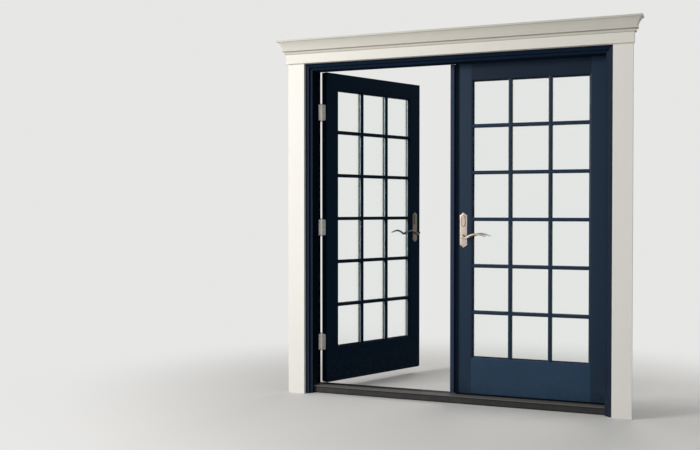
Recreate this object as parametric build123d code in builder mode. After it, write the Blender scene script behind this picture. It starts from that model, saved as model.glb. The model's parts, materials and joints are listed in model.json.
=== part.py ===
from build123d import *
from math import radians, tan
import os

os.makedirs("parts", exist_ok=True)

# A pair of glazed french doors in their frame, with the flat casing, frieze and crown that
# dress its outer side. The left leaf stands open into the room and the right leaf is closed.
# Millimetres. The origin is the middle of the frame's underside, +Y points indoors, +Z up.

# Leaves
leaf_width = 908
leaf_height = 2006
leaf_thickness = 44.5
leaf_opening = 66  # degrees that the left leaf stands open
leaf_bottom_gap = 6  # from the threshold to the underside of a leaf
edge_gap = 3  # between a leaf and the jambs and head
meeting_gap = 4  # between the two leaves when both are closed
stile_width = 109
top_rail_width = 109
bottom_rail_width = 222
arris = 1.5  # rounding of the long outer edges

# Sticking, glazing rebate and beads
sticking_width = 9
sticking_step = 1.5
sticking_lip = 4
rebate_width = 12
glass_depth = 13.5  # from the outer face of a leaf to the glass
glass_bite = 9  # how far the glass runs behind the sticking
pane_thickness = 3
pane_spacing = 13
spacer_width = 7
spacer_inset = 1  # from the edge of the glass to the spacer
spacer_bar_width = 10  # bars between the panes, behind the glazing bars
bead_lip = 3
bead_joint = 0.1  # hairline where a cross bead meets an upright one

# Glazing bars
panes_across = 3
panes_up = 6
bar_width = 22
bar_height = 11
bar_nose = 8
bar_lip = 3

# Frame
jamb_thickness = 38
jamb_depth = 167
stop_proud = 9
seal_space = 10  # between the stop and the outer face of a closed leaf
outer_band = 30
outer_band_step = 17
kerf_width = 2.5
kerf_depth = 7
kerf_inset = 4  # from the rabbet's face to the kerf
seal_clearance = 0.3
seal_rounding = 3

# Sill and threshold
sill_height = 40
sill_set_back = 40  # from the front of the jambs to the sill's face
sill_rake = 2
drip_height = 6
drip_depth = 5
quirk_height = 7
quirk_depth = 6
threshold_thickness = 5
threshold_nose = 3
tread_groove_width = 3
tread_groove_depth = 1
tread_groove_count = 4
tread_groove_pitch = 14
tread_groove_inset = 12

# Fixing holes through the jambs, in two pairs about the same middle
fixing_radius = 4
fixing_head_radius = 9
fixing_head_depth = 6
fixing_middle = 1050
outer_fixing_spacing = 1800
inner_fixing_spacing = 640

# Outer trim
trim_lap = 7  # how far the trim covers the front of the frame
casing_width = 110
casing_thickness = 21.5
frieze_height = 57
frieze_thickness = 42
frieze_overhang = 6
bed_height = 20
bed_projection = 10.5
bed_bead_height = 16
bed_bead_lift = 1.5  # from the frieze's top to the bead
crown_height = 68
crown_projection = 48
crown_foot = 20  # projection of the crown's foot
crown_foot_height = 12
crown_cove_step = 3  # how far the cove starts behind the foot's face
crown_fillet_height = 11
crown_fillet_step = 7

# Butt hinges
hinge_height = 101.6
hinge_plate_width = 34
hinge_plate_thickness = 3
hinge_corner = 6
hinge_end = 258  # from the top or bottom of a leaf to the middle of its outer hinges
hinge_count = 3
knuckle_count = 5
knuckle_radius = 6.5
knuckle_stand_off = 7  # from the inner face of a leaf to the pin's axis
knuckle_gap = 0.3
pin_radius = 3.2
pin_clearance = 0.05
pin_head_radius = 4.8
pin_collar_height = 1.2
pin_tip_height = 10  # height of the pointed tips, collar included
pin_tip_radius = 0.5
screw_radius = 2.3
screw_head_radius = 4.2
screw_head_angle = 82
screw_clearance = 0.02
screw_length = 22
screw_pitch = 32
screws_per_plate = 3

# Lock furniture
backset = 52.5  # from the free edge of a leaf to the lever's axis
lever_height = 955  # above the underside of a leaf
plate_width = 45
plate_height = 215
plate_shoulder = 16  # height of the pointed ends
plate_thickness = 4
plate_bevel = 1.2
plate_centre = 38.5  # above the lever's axis
neck_radius = 9
neck_length = 46  # from the face of a leaf to the middle of the handle
neck_root = 3  # how far the neck runs into the leaf
turning_clearance = 0.05
neck_rounding = 3
handle_reach = 150
handle_wave = [(0, 0), (0.15, -9), (0.38, 9), (0.64, 15), (1, 2)]  # share of the reach, rise
handle_height = 15
handle_depth = 12
handle_taper = 0.55  # share of its section that the handle loses towards its tip
handle_steps = 14
handle_set_back = 1.5  # from the neck's end to the middle of the handle
spindle_side = 8
spindle_seat = 20  # how far the spindle runs into each neck
cylinder_height = 93.5  # above the lever's axis
cylinder_boss_width = 21
cylinder_boss_height = 64
cylinder_boss_proud = 5
cylinder_stem_width = 17
cylinder_stem_height = 34
plug_radius = 6.5
plug_proud = 1
keyway_width = 2
keyway_height = 8
turn_shaft_radius = 4
turn_disc_radius = 13
turn_disc_height = 5
turn_grip_length = 30
turn_grip_width = 8
turn_grip_height = 16
turn_shaft_seat = 10

# Lock cases, bolts and strike
case_thickness = 16
case_depth = 80
case_height = 240
case_drop = 81  # from the lever's axis down to the case's underside
case_clearance = 0.5
faceplate_width = 22
faceplate_height = 280
faceplate_thickness = 3
follower_radius = 6.5
furniture_hole_radius = 12
latch_height = 49  # above the lever's axis
latch_thickness = 12
latch_width = 20
latch_throw = 12
latch_body = 32
deadbolt_thickness = 10
deadbolt_width = 30
deadbolt_body = 38
deadbolt_throw = 22
deadbolt_sink = 1
bolt_clearance = 0.2
strike_clearance = 1
strike_depth = 4  # beyond the tip of a thrown bolt
rod_radius = 5
rod_inset = 14  # from the free edge of the right leaf to the shoot bolts
rod_seat = 40
rod_sink = 2
rod_throw = 18
rod_clearance = 0.05
rod_socket_radius = 6.5
rod_socket_depth = 22

# Astragal on the right leaf
nose_reach = 24  # from the meeting line to the edge of the nose
nose_width = 25
nose_proud = 20
nose_gap = 3
flange_width = 19
flange_thickness = 8
gasket_width = 18
gasket_thickness = 3
astragal_top_gap = 2
bulb_width = 8

# Bottom sweep of a leaf
sweep_inset = 6
sweep_base = 2
sweep_fins = 3
sweep_fin_width = 2

# Places that follow from the sizes above
threshold_top = sill_height + threshold_thickness
leaf_bottom = threshold_top + leaf_bottom_gap
leaf_top = leaf_bottom + leaf_height
frame_width = 2 * (leaf_width + edge_gap + jamb_thickness) + meeting_gap
frame_height = leaf_top + edge_gap + jamb_thickness
frame_left = -frame_width / 2
stop_offset = jamb_thickness + stop_proud
outside = -jamb_depth / 2
inside = jamb_depth / 2
leaf_face = inside - leaf_thickness
leaf_middle = leaf_face + leaf_thickness / 2
stop_back = leaf_face - seal_space
free_edge = -meeting_gap / 2
hinge_edge = free_edge - leaf_width
glass_back = glass_depth + 2 * pane_thickness + pane_spacing
daylight_left = hinge_edge + stile_width
daylight_right = free_edge - stile_width
daylight_bottom = leaf_bottom + bottom_rail_width
daylight_top = leaf_top - top_rail_width
pane_width = (daylight_right - daylight_left - (panes_across - 1) * bar_width) / panes_across
pane_height = (daylight_top - daylight_bottom - (panes_up - 1) * bar_width) / panes_up
pin_x = hinge_edge - edge_gap / 2
pin_y = inside + knuckle_stand_off
left_pin = Axis((pin_x, pin_y, 0), (0, 0, 1))
hinge_step = (leaf_height - 2 * hinge_end) / (hinge_count - 1)
hinge_heights = [leaf_bottom + hinge_end + step * hinge_step for step in range(hinge_count)]
lever_x = free_edge - backset
lever_z = leaf_bottom + lever_height
cylinder_z = lever_z + cylinder_height
latch_z = lever_z + latch_height
case_bottom = lever_z - case_drop
case_top = case_bottom + case_height
case_edge = free_edge - faceplate_thickness
rod_x = meeting_gap / 2 + rod_inset


def keep(piece, name):
    """Name a finished piece and write it to its own file."""
    piece.label = name
    export_step(piece, f"parts/{name}.step")


def hang_right(piece, name, cuts=()):
    """The piece as it stands on the closed right leaf."""
    with BuildPart() as right_piece:
        mirror(piece, about=Plane.YZ)
        for cut in cuts:
            add(cut, mode=Mode.SUBTRACT)
    keep(right_piece.part, "right_" + name)
    return right_piece.part


def hang_left(piece, name):
    """The piece as it stands on the open left leaf."""
    with BuildPart() as left_piece:
        add(piece.rotate(left_pin, leaf_opening))
    keep(left_piece.part, "left_" + name)
    return left_piece.part


def upright_plane(x, y, z):
    """Looks down on a section: local x runs along +X and local y indoors."""
    return Plane(origin=(x, y, z), x_dir=(1, 0, 0), z_dir=(0, 0, 1))


# Frame: stepped jambs and head, mitred at the corners, with a kerf for the weatherstrip


def frame_section(plane):
    """Section of a jamb: local x runs from the wall into the doorway, local y indoors."""
    back = stop_back - outside
    kerf = jamb_thickness + kerf_inset
    with BuildSketch(plane) as section:
        with BuildLine():
            Polyline(
                (0, 0),
                (outer_band, 0),
                (outer_band, outer_band_step),
                (stop_offset, outer_band_step),
                (stop_offset, back),
                (kerf + kerf_width, back),
                (kerf + kerf_width, back - kerf_depth),
                (kerf, back - kerf_depth),
                (kerf, back),
                (jamb_thickness, back),
                (jamb_thickness, jamb_depth),
                (0, jamb_depth),
                close=True,
            )
        make_face()
        front = section.vertices().filter_by_position(Axis.Y, -1, 1)
        fillet(front.sort_by(Axis.X)[-1], arris)
    return section.sketch


def jamb_body(plane, length):
    with BuildPart() as body:
        extrude(frame_section(plane), amount=length)
    return body.part


def weatherstrip_section(plane):
    """A bulb between the stop and the leaf, with a tongue in the kerf."""
    back = stop_back - outside
    kerf = jamb_thickness + kerf_inset
    bulb_low = jamb_thickness + seal_clearance
    bulb_high = stop_offset - 1
    bulb_depth = seal_space - seal_clearance
    with BuildSketch(plane) as section:
        with Locations(((bulb_low + bulb_high) / 2, back + bulb_depth / 2)):
            Rectangle(bulb_high - bulb_low, bulb_depth)
        fillet(section.vertices().group_by(Axis.Y)[-1], seal_rounding)
        with Locations((kerf + kerf_width / 2, back - kerf_depth / 2)):
            Rectangle(kerf_width, kerf_depth)
    return section.sketch


left_jamb_plane = Plane(origin=(frame_left, outside, 0), x_dir=(1, 0, 0), z_dir=(0, 0, 1))
head_plane = Plane(origin=(frame_left, outside, frame_height), x_dir=(0, 0, -1), z_dir=(1, 0, 0))
mitre_drop = stop_offset + arris

with BuildPart() as head_space:
    with BuildSketch(Plane.XZ):
        with BuildLine():
            Polyline(
                (frame_left, frame_height),
                (-frame_left, frame_height),
                (-frame_left - mitre_drop, frame_height - mitre_drop),
                (frame_left + mitre_drop, frame_height - mitre_drop),
                close=True,
            )
        make_face()
    extrude(amount=jamb_depth, both=True)

# Hinges, closed. The jamb's half carries the odd knuckles and the leaf's half the even ones.
knuckle_height = hinge_height / knuckle_count


def hinge_half(middle, side, first):
    """One half: side is -1 on the jamb and 1 on the leaf, first is its lowest knuckle."""
    near = pin_x + side * edge_gap / 2
    far = near + side * hinge_plate_thickness
    face = Plane(
        origin=(near, inside - hinge_plate_width / 2, middle),
        x_dir=(0, -side, 0),
        z_dir=(-side, 0, 0),
    )
    with BuildPart() as half:
        with BuildSketch(face):
            plate = Rectangle(hinge_plate_width, hinge_height)
            fillet(plate.vertices(), hinge_corner)
        extrude(amount=-hinge_plate_thickness)
        for knuckle in range(first, knuckle_count, 2):
            low = middle - hinge_height / 2 + knuckle * knuckle_height + knuckle_gap / 2
            with BuildSketch(upright_plane(0, 0, low)):
                with Locations((pin_x, pin_y)):
                    Circle(knuckle_radius)
                with Locations(((near + far) / 2, (inside + pin_y) / 2)):
                    Rectangle(hinge_plate_thickness, knuckle_stand_off)
            extrude(amount=knuckle_height - knuckle_gap)
        with BuildSketch(upright_plane(0, 0, middle - hinge_height / 2)):
            with Locations((pin_x, pin_y)):
                Circle(pin_radius + pin_clearance)
        extrude(amount=hinge_height, mode=Mode.SUBTRACT)
        with Locations(face):
            with GridLocations(0, screw_pitch, 1, screws_per_plate):
                CounterSinkHole(screw_radius, screw_head_radius, counter_sink_angle=screw_head_angle)
    return half.part


def hinge_screw_set(middle, side):
    """Countersunk screws whose heads lie flush in one half of a hinge."""
    near = pin_x + side * edge_gap / 2
    head = screw_head_radius - screw_clearance
    shank = screw_radius - screw_clearance
    head_depth = (head - shank) / tan(radians(screw_head_angle / 2))
    with BuildPart() as screws:
        for step in range(screws_per_plate):
            height = middle + (step - (screws_per_plate - 1) / 2) * screw_pitch
            start = (near, inside - hinge_plate_width / 2, height)
            along = Plane(origin=start, x_dir=(side, 0, 0), z_dir=(0, 0, 1))
            with BuildSketch(along):
                with BuildLine():
                    Polyline(
                        (0, 0),
                        (0, head),
                        (head_depth, shank),
                        (screw_length, shank),
                        (screw_length, 0),
                        close=True,
                    )
                make_face()
            revolve(axis=Axis(start, (side, 0, 0)))
    return screws.part


def hinge_pin(middle):
    """Turned pin whose collared ends rise to a point, as (radius, height) from its middle."""
    end = hinge_height / 2
    collar = end + pin_collar_height
    tip = end + pin_tip_height
    with BuildPart() as pin:
        with BuildSketch(Plane(origin=(pin_x, pin_y, middle), x_dir=(1, 0, 0), z_dir=(0, -1, 0))):
            with BuildLine():
                Polyline((pin_radius, 0), (pin_radius, end), (pin_head_radius, end), (pin_head_radius, collar))
                TangentArc((pin_head_radius, collar), (pin_tip_radius, tip), tangent=(0, 1))
                Line((pin_tip_radius, tip), (0, tip))
                mirror(about=Plane.XZ)
                Line((0, tip), (0, -tip))
            make_face()
        revolve(axis=Axis((pin_x, pin_y, middle), (0, 0, 1)))
    return pin.part


with BuildPart() as jamb_hinge_halves:
    for middle in hinge_heights:
        add(hinge_half(middle, -1, 0))

with BuildPart() as jamb_hinge_screws:
    for middle in hinge_heights:
        add(hinge_screw_set(middle, -1))

with BuildPart() as leaf_hinge_halves:
    for middle in hinge_heights:
        add(hinge_half(middle, 1, 1))

with BuildPart() as leaf_hinge_screws:
    for middle in hinge_heights:
        add(hinge_screw_set(middle, 1))

with BuildPart() as left_jamb:
    add(jamb_body(left_jamb_plane, frame_height))
    add(head_space.part, mode=Mode.SUBTRACT)
    add(jamb_hinge_halves.part, mode=Mode.SUBTRACT)
    add(jamb_hinge_screws.part, mode=Mode.SUBTRACT)
    fixing_y = (stop_back + inside) / 2
    for spacing in (outer_fixing_spacing, inner_fixing_spacing):
        for height in (fixing_middle - spacing / 2, fixing_middle + spacing / 2):
            rabbet_face = (frame_left + jamb_thickness, fixing_y, height)
            with Locations(Plane(origin=rabbet_face, z_dir=(1, 0, 0))):
                CounterBoreHole(fixing_radius, fixing_head_radius, fixing_head_depth)
keep(left_jamb.part, "left_jamb")

with BuildPart() as right_jamb:
    mirror(left_jamb.part, about=Plane.YZ)
keep(right_jamb.part, "right_jamb")

with BuildPart() as head_jamb:
    add(jamb_body(head_plane, frame_width))
    add(head_space.part, mode=Mode.INTERSECT)
    with BuildSketch(upright_plane(rod_x, leaf_middle, leaf_top + edge_gap)):
        Circle(rod_socket_radius)
    extrude(amount=rod_socket_depth, mode=Mode.SUBTRACT)
keep(head_jamb.part, "head_jamb")

with BuildPart() as frame_hinge_halves:
    add(jamb_hinge_halves.part)
    mirror(jamb_hinge_halves.part, about=Plane.YZ)
keep(frame_hinge_halves.part, "frame_hinge_halves")

with BuildPart() as frame_hinge_screws:
    add(jamb_hinge_screws.part)
    mirror(jamb_hinge_screws.part, about=Plane.YZ)
keep(frame_hinge_screws.part, "frame_hinge_screws")

with BuildPart() as hinge_pins:
    for middle in hinge_heights:
        add(hinge_pin(middle))
    mirror(hinge_pins.part, about=Plane.YZ)
keep(hinge_pins.part, "hinge_pins")

with BuildPart() as side_weatherstrip:
    extrude(weatherstrip_section(left_jamb_plane.offset(threshold_top)), amount=frame_height - threshold_top)
    add(head_space.part, mode=Mode.SUBTRACT)

with BuildPart() as frame_weatherstrips:
    add(side_weatherstrip.part)
    mirror(side_weatherstrip.part, about=Plane.YZ)
    with BuildPart(mode=Mode.PRIVATE) as head_weatherstrip:
        extrude(weatherstrip_section(head_plane), amount=frame_width)
        add(head_space.part, mode=Mode.INTERSECT)
    add(head_weatherstrip.part)
keep(frame_weatherstrips.part, "frame_weatherstrips")

# Sill and threshold, cut round the feet of the jambs
sill_face = outside + sill_set_back
sill_half_width = frame_width / 2 - jamb_thickness
cross_plane = Plane(origin=(-sill_half_width, 0, 0), x_dir=(0, 1, 0), z_dir=(1, 0, 0))

with BuildPart() as sill:
    with BuildSketch(cross_plane):
        with BuildLine():
            Polyline(
                (sill_face + drip_depth, 0),
                (sill_face, drip_height),
                (sill_face + sill_rake, sill_height - quirk_height),
                (sill_face + quirk_depth, sill_height - quirk_height),
                (sill_face + quirk_depth, sill_height),
                (inside, sill_height),
                (inside, 0),
                close=True,
            )
        make_face()
    extrude(amount=2 * sill_half_width)
    add(left_jamb.part, mode=Mode.SUBTRACT)
    add(right_jamb.part, mode=Mode.SUBTRACT)
    with BuildSketch(upright_plane(rod_x, leaf_middle, sill_height)):
        Circle(rod_socket_radius)
    extrude(amount=threshold_thickness - rod_socket_depth, mode=Mode.SUBTRACT)
keep(sill.part, "sill")

with BuildPart() as threshold:
    with BuildSketch(cross_plane):
        with BuildLine():
            Polyline(
                (sill_face - threshold_nose, sill_height),
                (sill_face - threshold_nose, threshold_top - arris),
                (sill_face - threshold_nose + arris, threshold_top),
                (inside, threshold_top),
                (inside, sill_height),
                close=True,
            )
        make_face()
        with Locations((sill_face + tread_groove_inset, threshold_top)):
            with GridLocations(tread_groove_pitch, 0, tread_groove_count, 1, align=(Align.MIN, Align.CENTER)):
                Rectangle(tread_groove_width, 2 * tread_groove_depth, mode=Mode.SUBTRACT)
    extrude(amount=2 * sill_half_width)
    add(left_jamb.part, mode=Mode.SUBTRACT)
    add(right_jamb.part, mode=Mode.SUBTRACT)
    with BuildSketch(upright_plane(rod_x, leaf_middle, sill_height)):
        Circle(rod_socket_radius)
    extrude(amount=threshold_thickness, mode=Mode.SUBTRACT)
keep(threshold.part, "threshold")

# Outer trim: flat casings, frieze board, bed mould and crown with mitred returns
trim_bottom = frame_height - trim_lap
casing_left = frame_left + trim_lap - casing_width
frieze_half = -casing_left + frieze_overhang
frieze_top = trim_bottom + frieze_height
frieze_face = outside - frieze_thickness
bed_top = frieze_top + bed_height

with BuildPart() as left_casing:
    with BuildSketch(upright_plane(casing_left, outside, 0)) as casing_section:
        Rectangle(casing_width, casing_thickness, align=(Align.MIN, Align.MAX))
        fillet(casing_section.vertices().group_by(Axis.Y)[0], arris)
    extrude(amount=trim_bottom)
keep(left_casing.part, "left_casing")

with BuildPart() as right_casing:
    mirror(left_casing.part, about=Plane.YZ)
keep(right_casing.part, "right_casing")

with BuildPart() as frieze_board:
    with BuildSketch(Plane.XY.offset(trim_bottom)):
        with Locations((0, outside)):
            Rectangle(2 * frieze_half, frieze_thickness, align=(Align.CENTER, Align.MAX))
    extrude(amount=frieze_height)
    fillet(frieze_board.edges().filter_by(Axis.Z).group_by(Axis.Y)[0], arris)
keep(frieze_board.part, "frieze_board")


def bed_line():
    """Outline of the bed mould: a half-round bead, as (projection, height) from the frieze's top."""
    bead_root = bed_projection - bed_bead_height / 2
    bead_top = bed_bead_lift + bed_bead_height
    with BuildLine() as line:
        Polyline((0, 0), (bead_root, 0), (bead_root, bed_bead_lift))
        ThreePointArc(
            (bead_root, bed_bead_lift), (bed_projection, (bed_bead_lift + bead_top) / 2), (bead_root, bead_top)
        )
        Line((bead_root, bead_top), (bead_root, bed_height))
    return line.line


def crown_line():
    """Outline of the crown: a foot that oversails the bead, a cove and a top fillet."""
    cove_foot = (crown_foot - crown_cove_step, crown_foot_height)
    cove_top = (crown_projection - crown_fillet_step, crown_height - crown_fillet_height)
    with BuildLine() as line:
        Polyline((crown_foot, 0), (crown_foot, crown_foot_height), cove_foot)
        TangentArc(cove_foot, cove_top, tangent=(0.15, 1))
        Polyline(
            cove_top,
            (crown_projection, crown_height - crown_fillet_height),
            (crown_projection, crown_height),
        )
    return line.line


def returned_moulding(outline, foot, height):
    """A moulding along the front and both ends: the front and side runs, cut to their mitres."""
    ends = (outline @ 0, outline @ 1)
    front = Plane(origin=(0, frieze_face, foot), x_dir=(0, -1, 0), z_dir=(-1, 0, 0))
    side = Plane(origin=(frieze_half, 0, foot), x_dir=(1, 0, 0), z_dir=(0, -1, 0))
    with BuildPart() as moulding:
        with BuildSketch(front):
            with BuildLine():
                add(outline)
                Polyline(ends[1], (-frieze_thickness, height), (-frieze_thickness, 0), ends[0])
            make_face()
        extrude(amount=frieze_half + crown_projection, both=True)
        with BuildSketch(side) as run:
            with BuildLine():
                add(outline)
                Polyline(ends[1], (-frieze_half, height), (-frieze_half, 0), ends[0])
            make_face()
            mirror(about=Plane(origin=(-frieze_half, 0, 0), z_dir=(1, 0, 0)))
        extrude(amount=-outside + frieze_thickness + crown_projection, both=True, mode=Mode.INTERSECT)
    return moulding.part


bed_mould = returned_moulding(bed_line(), frieze_top, bed_height)
keep(bed_mould, "bed_mould")
crown_moulding = returned_moulding(crown_line(), bed_top, crown_height)
keep(crown_moulding, "crown_moulding")

# A leaf, closed on the left side of the doorway. The right leaf is its mirror image.


def stick_section(plane, width):
    """Section of a stile or rail: local x runs to the glass, local y from the outer face indoors."""
    flat = width - sticking_width
    rebate = width - rebate_width
    with BuildSketch(plane) as section:
        with BuildLine():
            Polyline((0, 0), (flat, 0), (flat, sticking_step))
            TangentArc((flat, sticking_step), (width, glass_depth - sticking_lip), tangent=(1, 0))
            Polyline(
                (width, glass_depth - sticking_lip),
                (width, glass_depth),
                (rebate, glass_depth),
                (rebate, leaf_thickness),
                (0, leaf_thickness),
                (0, 0),
            )
        make_face()
        fillet(section.vertices().group_by(Axis.X)[0], arris)
    return section.sketch


def bead_section(plane, width):
    """Section of a glazing bead, which fills the rebate behind the glass."""
    flat = width - sticking_width
    rebate = width - rebate_width
    with BuildSketch(plane) as section:
        with BuildLine():
            Polyline((rebate, glass_back), (width, glass_back), (width, glass_back + bead_lip))
            TangentArc((width, glass_back + bead_lip), (flat, leaf_thickness), tangent=(0, 1))
            Polyline((flat, leaf_thickness), (rebate, leaf_thickness), (rebate, glass_back))
        make_face()
    return section.sketch


hinge_stile_plane = Plane(origin=(hinge_edge, leaf_face, leaf_bottom), x_dir=(1, 0, 0), z_dir=(0, 0, 1))
lock_stile_plane = Plane(origin=(free_edge, leaf_face, leaf_top), x_dir=(-1, 0, 0), z_dir=(0, 0, -1))
rebate_left = daylight_left - rebate_width
rebate_right = daylight_right + rebate_width
rebate_bottom = daylight_bottom - rebate_width
rebate_top = daylight_top + rebate_width
top_rail_plane = Plane(origin=(rebate_left, leaf_face, leaf_top), x_dir=(0, 0, -1), z_dir=(1, 0, 0))
bottom_rail_plane = Plane(origin=(rebate_right, leaf_face, leaf_bottom), x_dir=(0, 0, 1), z_dir=(-1, 0, 0))

with BuildPart() as hinge_stile:
    extrude(stick_section(hinge_stile_plane, stile_width), amount=leaf_height)
    add(leaf_hinge_halves.part, mode=Mode.SUBTRACT)
    add(leaf_hinge_screws.part, mode=Mode.SUBTRACT)

# Lock case pocket, faceplate seat and holes for the furniture
outer_face_plane = Plane(origin=(lever_x, leaf_face, lever_z), x_dir=(1, 0, 0), z_dir=(0, -1, 0))
inner_face_plane = Plane(origin=(lever_x, inside, lever_z), x_dir=(-1, 0, 0), z_dir=(0, 1, 0))
edge_plane = Plane(origin=(free_edge, leaf_middle, 0), x_dir=(0, 1, 0), z_dir=(1, 0, 0))
case_middle = case_bottom + case_height / 2
pocket_depth = faceplate_thickness + case_depth + case_clearance

with BuildPart() as lock_stile:
    extrude(stick_section(lock_stile_plane, stile_width), amount=leaf_height)
    with BuildSketch(edge_plane):
        with Locations((0, case_middle)):
            Rectangle(case_thickness + 2 * case_clearance, case_height + 2 * case_clearance)
    extrude(amount=-pocket_depth, mode=Mode.SUBTRACT)
    with BuildSketch(edge_plane):
        with Locations((0, case_middle)):
            Rectangle(faceplate_width, faceplate_height)
    extrude(amount=-faceplate_thickness, mode=Mode.SUBTRACT)
    with BuildSketch(outer_face_plane):
        Circle(furniture_hole_radius)
    extrude(amount=-leaf_thickness, mode=Mode.SUBTRACT)
    with BuildSketch(outer_face_plane):
        with Locations((0, cylinder_height)):
            SlotOverall(cylinder_stem_height, cylinder_stem_width, rotation=90)
    extrude(amount=-leaf_thickness / 2, mode=Mode.SUBTRACT)
    with BuildSketch(inner_face_plane):
        with Locations((0, cylinder_height)):
            Circle(furniture_hole_radius)
    extrude(amount=-leaf_thickness / 2, mode=Mode.SUBTRACT)

with BuildPart() as top_rail:
    extrude(stick_section(top_rail_plane, top_rail_width), amount=rebate_right - rebate_left)
    add(hinge_stile.part, mode=Mode.SUBTRACT)
    add(lock_stile.part, mode=Mode.SUBTRACT)

with BuildPart() as bottom_rail:
    extrude(stick_section(bottom_rail_plane, bottom_rail_width), amount=rebate_right - rebate_left)
    add(hinge_stile.part, mode=Mode.SUBTRACT)
    add(lock_stile.part, mode=Mode.SUBTRACT)

# Insulating glass: two panes with a spacer round their edge
glass_plane = Plane(
    origin=((daylight_left + daylight_right) / 2, leaf_face, (daylight_bottom + daylight_top) / 2),
    x_dir=(1, 0, 0),
    z_dir=(0, -1, 0),
)
glass_width = daylight_right - daylight_left + 2 * glass_bite
glass_height = daylight_top - daylight_bottom + 2 * glass_bite

with BuildPart() as glass_panes:
    for depth in (glass_depth, glass_back - pane_thickness):
        with BuildSketch(glass_plane.offset(-depth)):
            Rectangle(glass_width, glass_height)
        extrude(amount=-pane_thickness)

with BuildPart() as glass_spacer:
    with BuildSketch(glass_plane.offset(-glass_depth - pane_thickness)):
        Rectangle(glass_width - 2 * spacer_inset, glass_height - 2 * spacer_inset)
        Rectangle(glass_width - 2 * spacer_width, glass_height - 2 * spacer_width, mode=Mode.SUBTRACT)
        with GridLocations(pane_width + bar_width, 0, panes_across - 1, 1):
            Rectangle(spacer_bar_width, glass_height - 2 * spacer_width)
        with GridLocations(0, pane_height + bar_width, 1, panes_up - 1):
            Rectangle(glass_width - 2 * spacer_width, spacer_bar_width)
    extrude(amount=-pane_spacing)

upright_bead_length = rebate_top - rebate_bottom
hinge_side_beads = hinge_stile_plane.offset(rebate_bottom - leaf_bottom)
lock_side_beads = lock_stile_plane.offset(leaf_top - rebate_top)

with BuildPart() as upright_beads:
    extrude(bead_section(hinge_side_beads, stile_width), upright_bead_length)
    extrude(bead_section(lock_side_beads, stile_width), upright_bead_length)

with BuildPart() as bead_cope:
    extrude(bead_section(hinge_side_beads, stile_width + bead_joint), upright_bead_length)
    extrude(bead_section(lock_side_beads, stile_width + bead_joint), upright_bead_length)

with BuildPart() as glazing_beads:
    extrude(bead_section(top_rail_plane, top_rail_width), rebate_right - rebate_left)
    extrude(bead_section(bottom_rail_plane, bottom_rail_width), rebate_right - rebate_left)
    add(bead_cope.part, mode=Mode.SUBTRACT)
    add(upright_beads.part)


def bar_section(plane):
    """Section of a glazing bar that lies on the glass: local y stands off the glass."""
    with BuildSketch(plane) as section:
        with BuildLine():
            Polyline((0, 0), (bar_width / 2, 0), (bar_width / 2, bar_lip))
            TangentArc((bar_width / 2, bar_lip), (bar_nose / 2, bar_height), tangent=(0, 1))
            Line((bar_nose / 2, bar_height), (0, bar_height))
            mirror(about=Plane.YZ)
        make_face()
    return section.sketch


def bar_grid(glass_y, side, neighbours):
    """Bars on one side of the glass, coped to what they meet. side is -1 outside, 1 inside."""
    with BuildPart() as grid:
        for bar in range(1, panes_across):
            x = daylight_left + bar * (pane_width + bar_width) - bar_width / 2
            start = (x, glass_y, daylight_bottom - sticking_width)
            upright = bar_section(Plane(origin=start, x_dir=(side, 0, 0), z_dir=(0, 0, 1)))
            extrude(upright, daylight_top - daylight_bottom + 2 * sticking_width)
        for bar in range(1, panes_up):
            z = daylight_bottom + bar * (pane_height + bar_width) - bar_width / 2
            start = (daylight_left - sticking_width, glass_y, z)
            crossing = bar_section(Plane(origin=start, x_dir=(0, 0, -side), z_dir=(1, 0, 0)))
            extrude(crossing, daylight_right - daylight_left + 2 * sticking_width)
        for neighbour in neighbours:
            add(neighbour, mode=Mode.SUBTRACT)
    return grid.part


outer_bars = bar_grid(
    leaf_face + glass_depth,
    -1,
    (hinge_stile.part, lock_stile.part, top_rail.part, bottom_rail.part),
)
inner_bars = bar_grid(leaf_face + glass_back, 1, (glazing_beads.part,))

with BuildPart() as bottom_sweep:
    sweep_width = leaf_thickness - 2 * sweep_inset
    sweep_plane = Plane(
        origin=(hinge_edge + edge_gap, leaf_middle, leaf_bottom), x_dir=(0, 1, 0), z_dir=(1, 0, 0)
    )
    with BuildSketch(sweep_plane):
        Rectangle(sweep_width, sweep_base, align=(Align.CENTER, Align.MAX))
        with GridLocations((sweep_width - sweep_fin_width) / (sweep_fins - 1), 0, sweep_fins, 1):
            Rectangle(sweep_fin_width, leaf_bottom_gap - seal_clearance, align=(Align.CENTER, Align.MAX))
    extrude(amount=leaf_width - 2 * edge_gap)

# Lock furniture: a pointed plate, a waved lever on each side, a keyed cylinder and a thumb turn
plate_straight = plate_height / 2 - plate_shoulder


def plate_outline(plane):
    """Long plate whose ends rise in a double curve to a point."""
    half = plate_width / 2
    tip = plate_height / 2
    with BuildSketch(plane) as outline:
        with BuildLine():
            side = Line((half, 0), (half, plate_straight))
            turn = (half * 0.62, plate_straight + plate_shoulder * 0.45)
            shoulder = TangentArc(side @ 1, turn, tangent=(0, 1))
            TangentArc(shoulder @ 1, (0, tip), tangent=shoulder % 1)
            mirror(about=Plane.YZ)
            mirror(about=Plane.XZ)
        make_face()
    return outline.sketch


def furniture_plate(face_plane, with_turn):
    with BuildPart() as plate:
        centre = face_plane.from_local_coords((0, plate_centre, 0))
        extrude(plate_outline(face_plane.shift_origin(centre)), plate_thickness)
        front = plate.faces().sort_by(Axis(face_plane.origin, face_plane.z_dir))[-1]
        chamfer(front.edges(), plate_bevel)
        with BuildSketch(face_plane):
            Circle(neck_radius + turning_clearance)
            if with_turn:
                with Locations((0, cylinder_height)):
                    Circle(turn_shaft_radius + turning_clearance)
        extrude(amount=plate_thickness, mode=Mode.SUBTRACT)
    return plate.part


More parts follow.
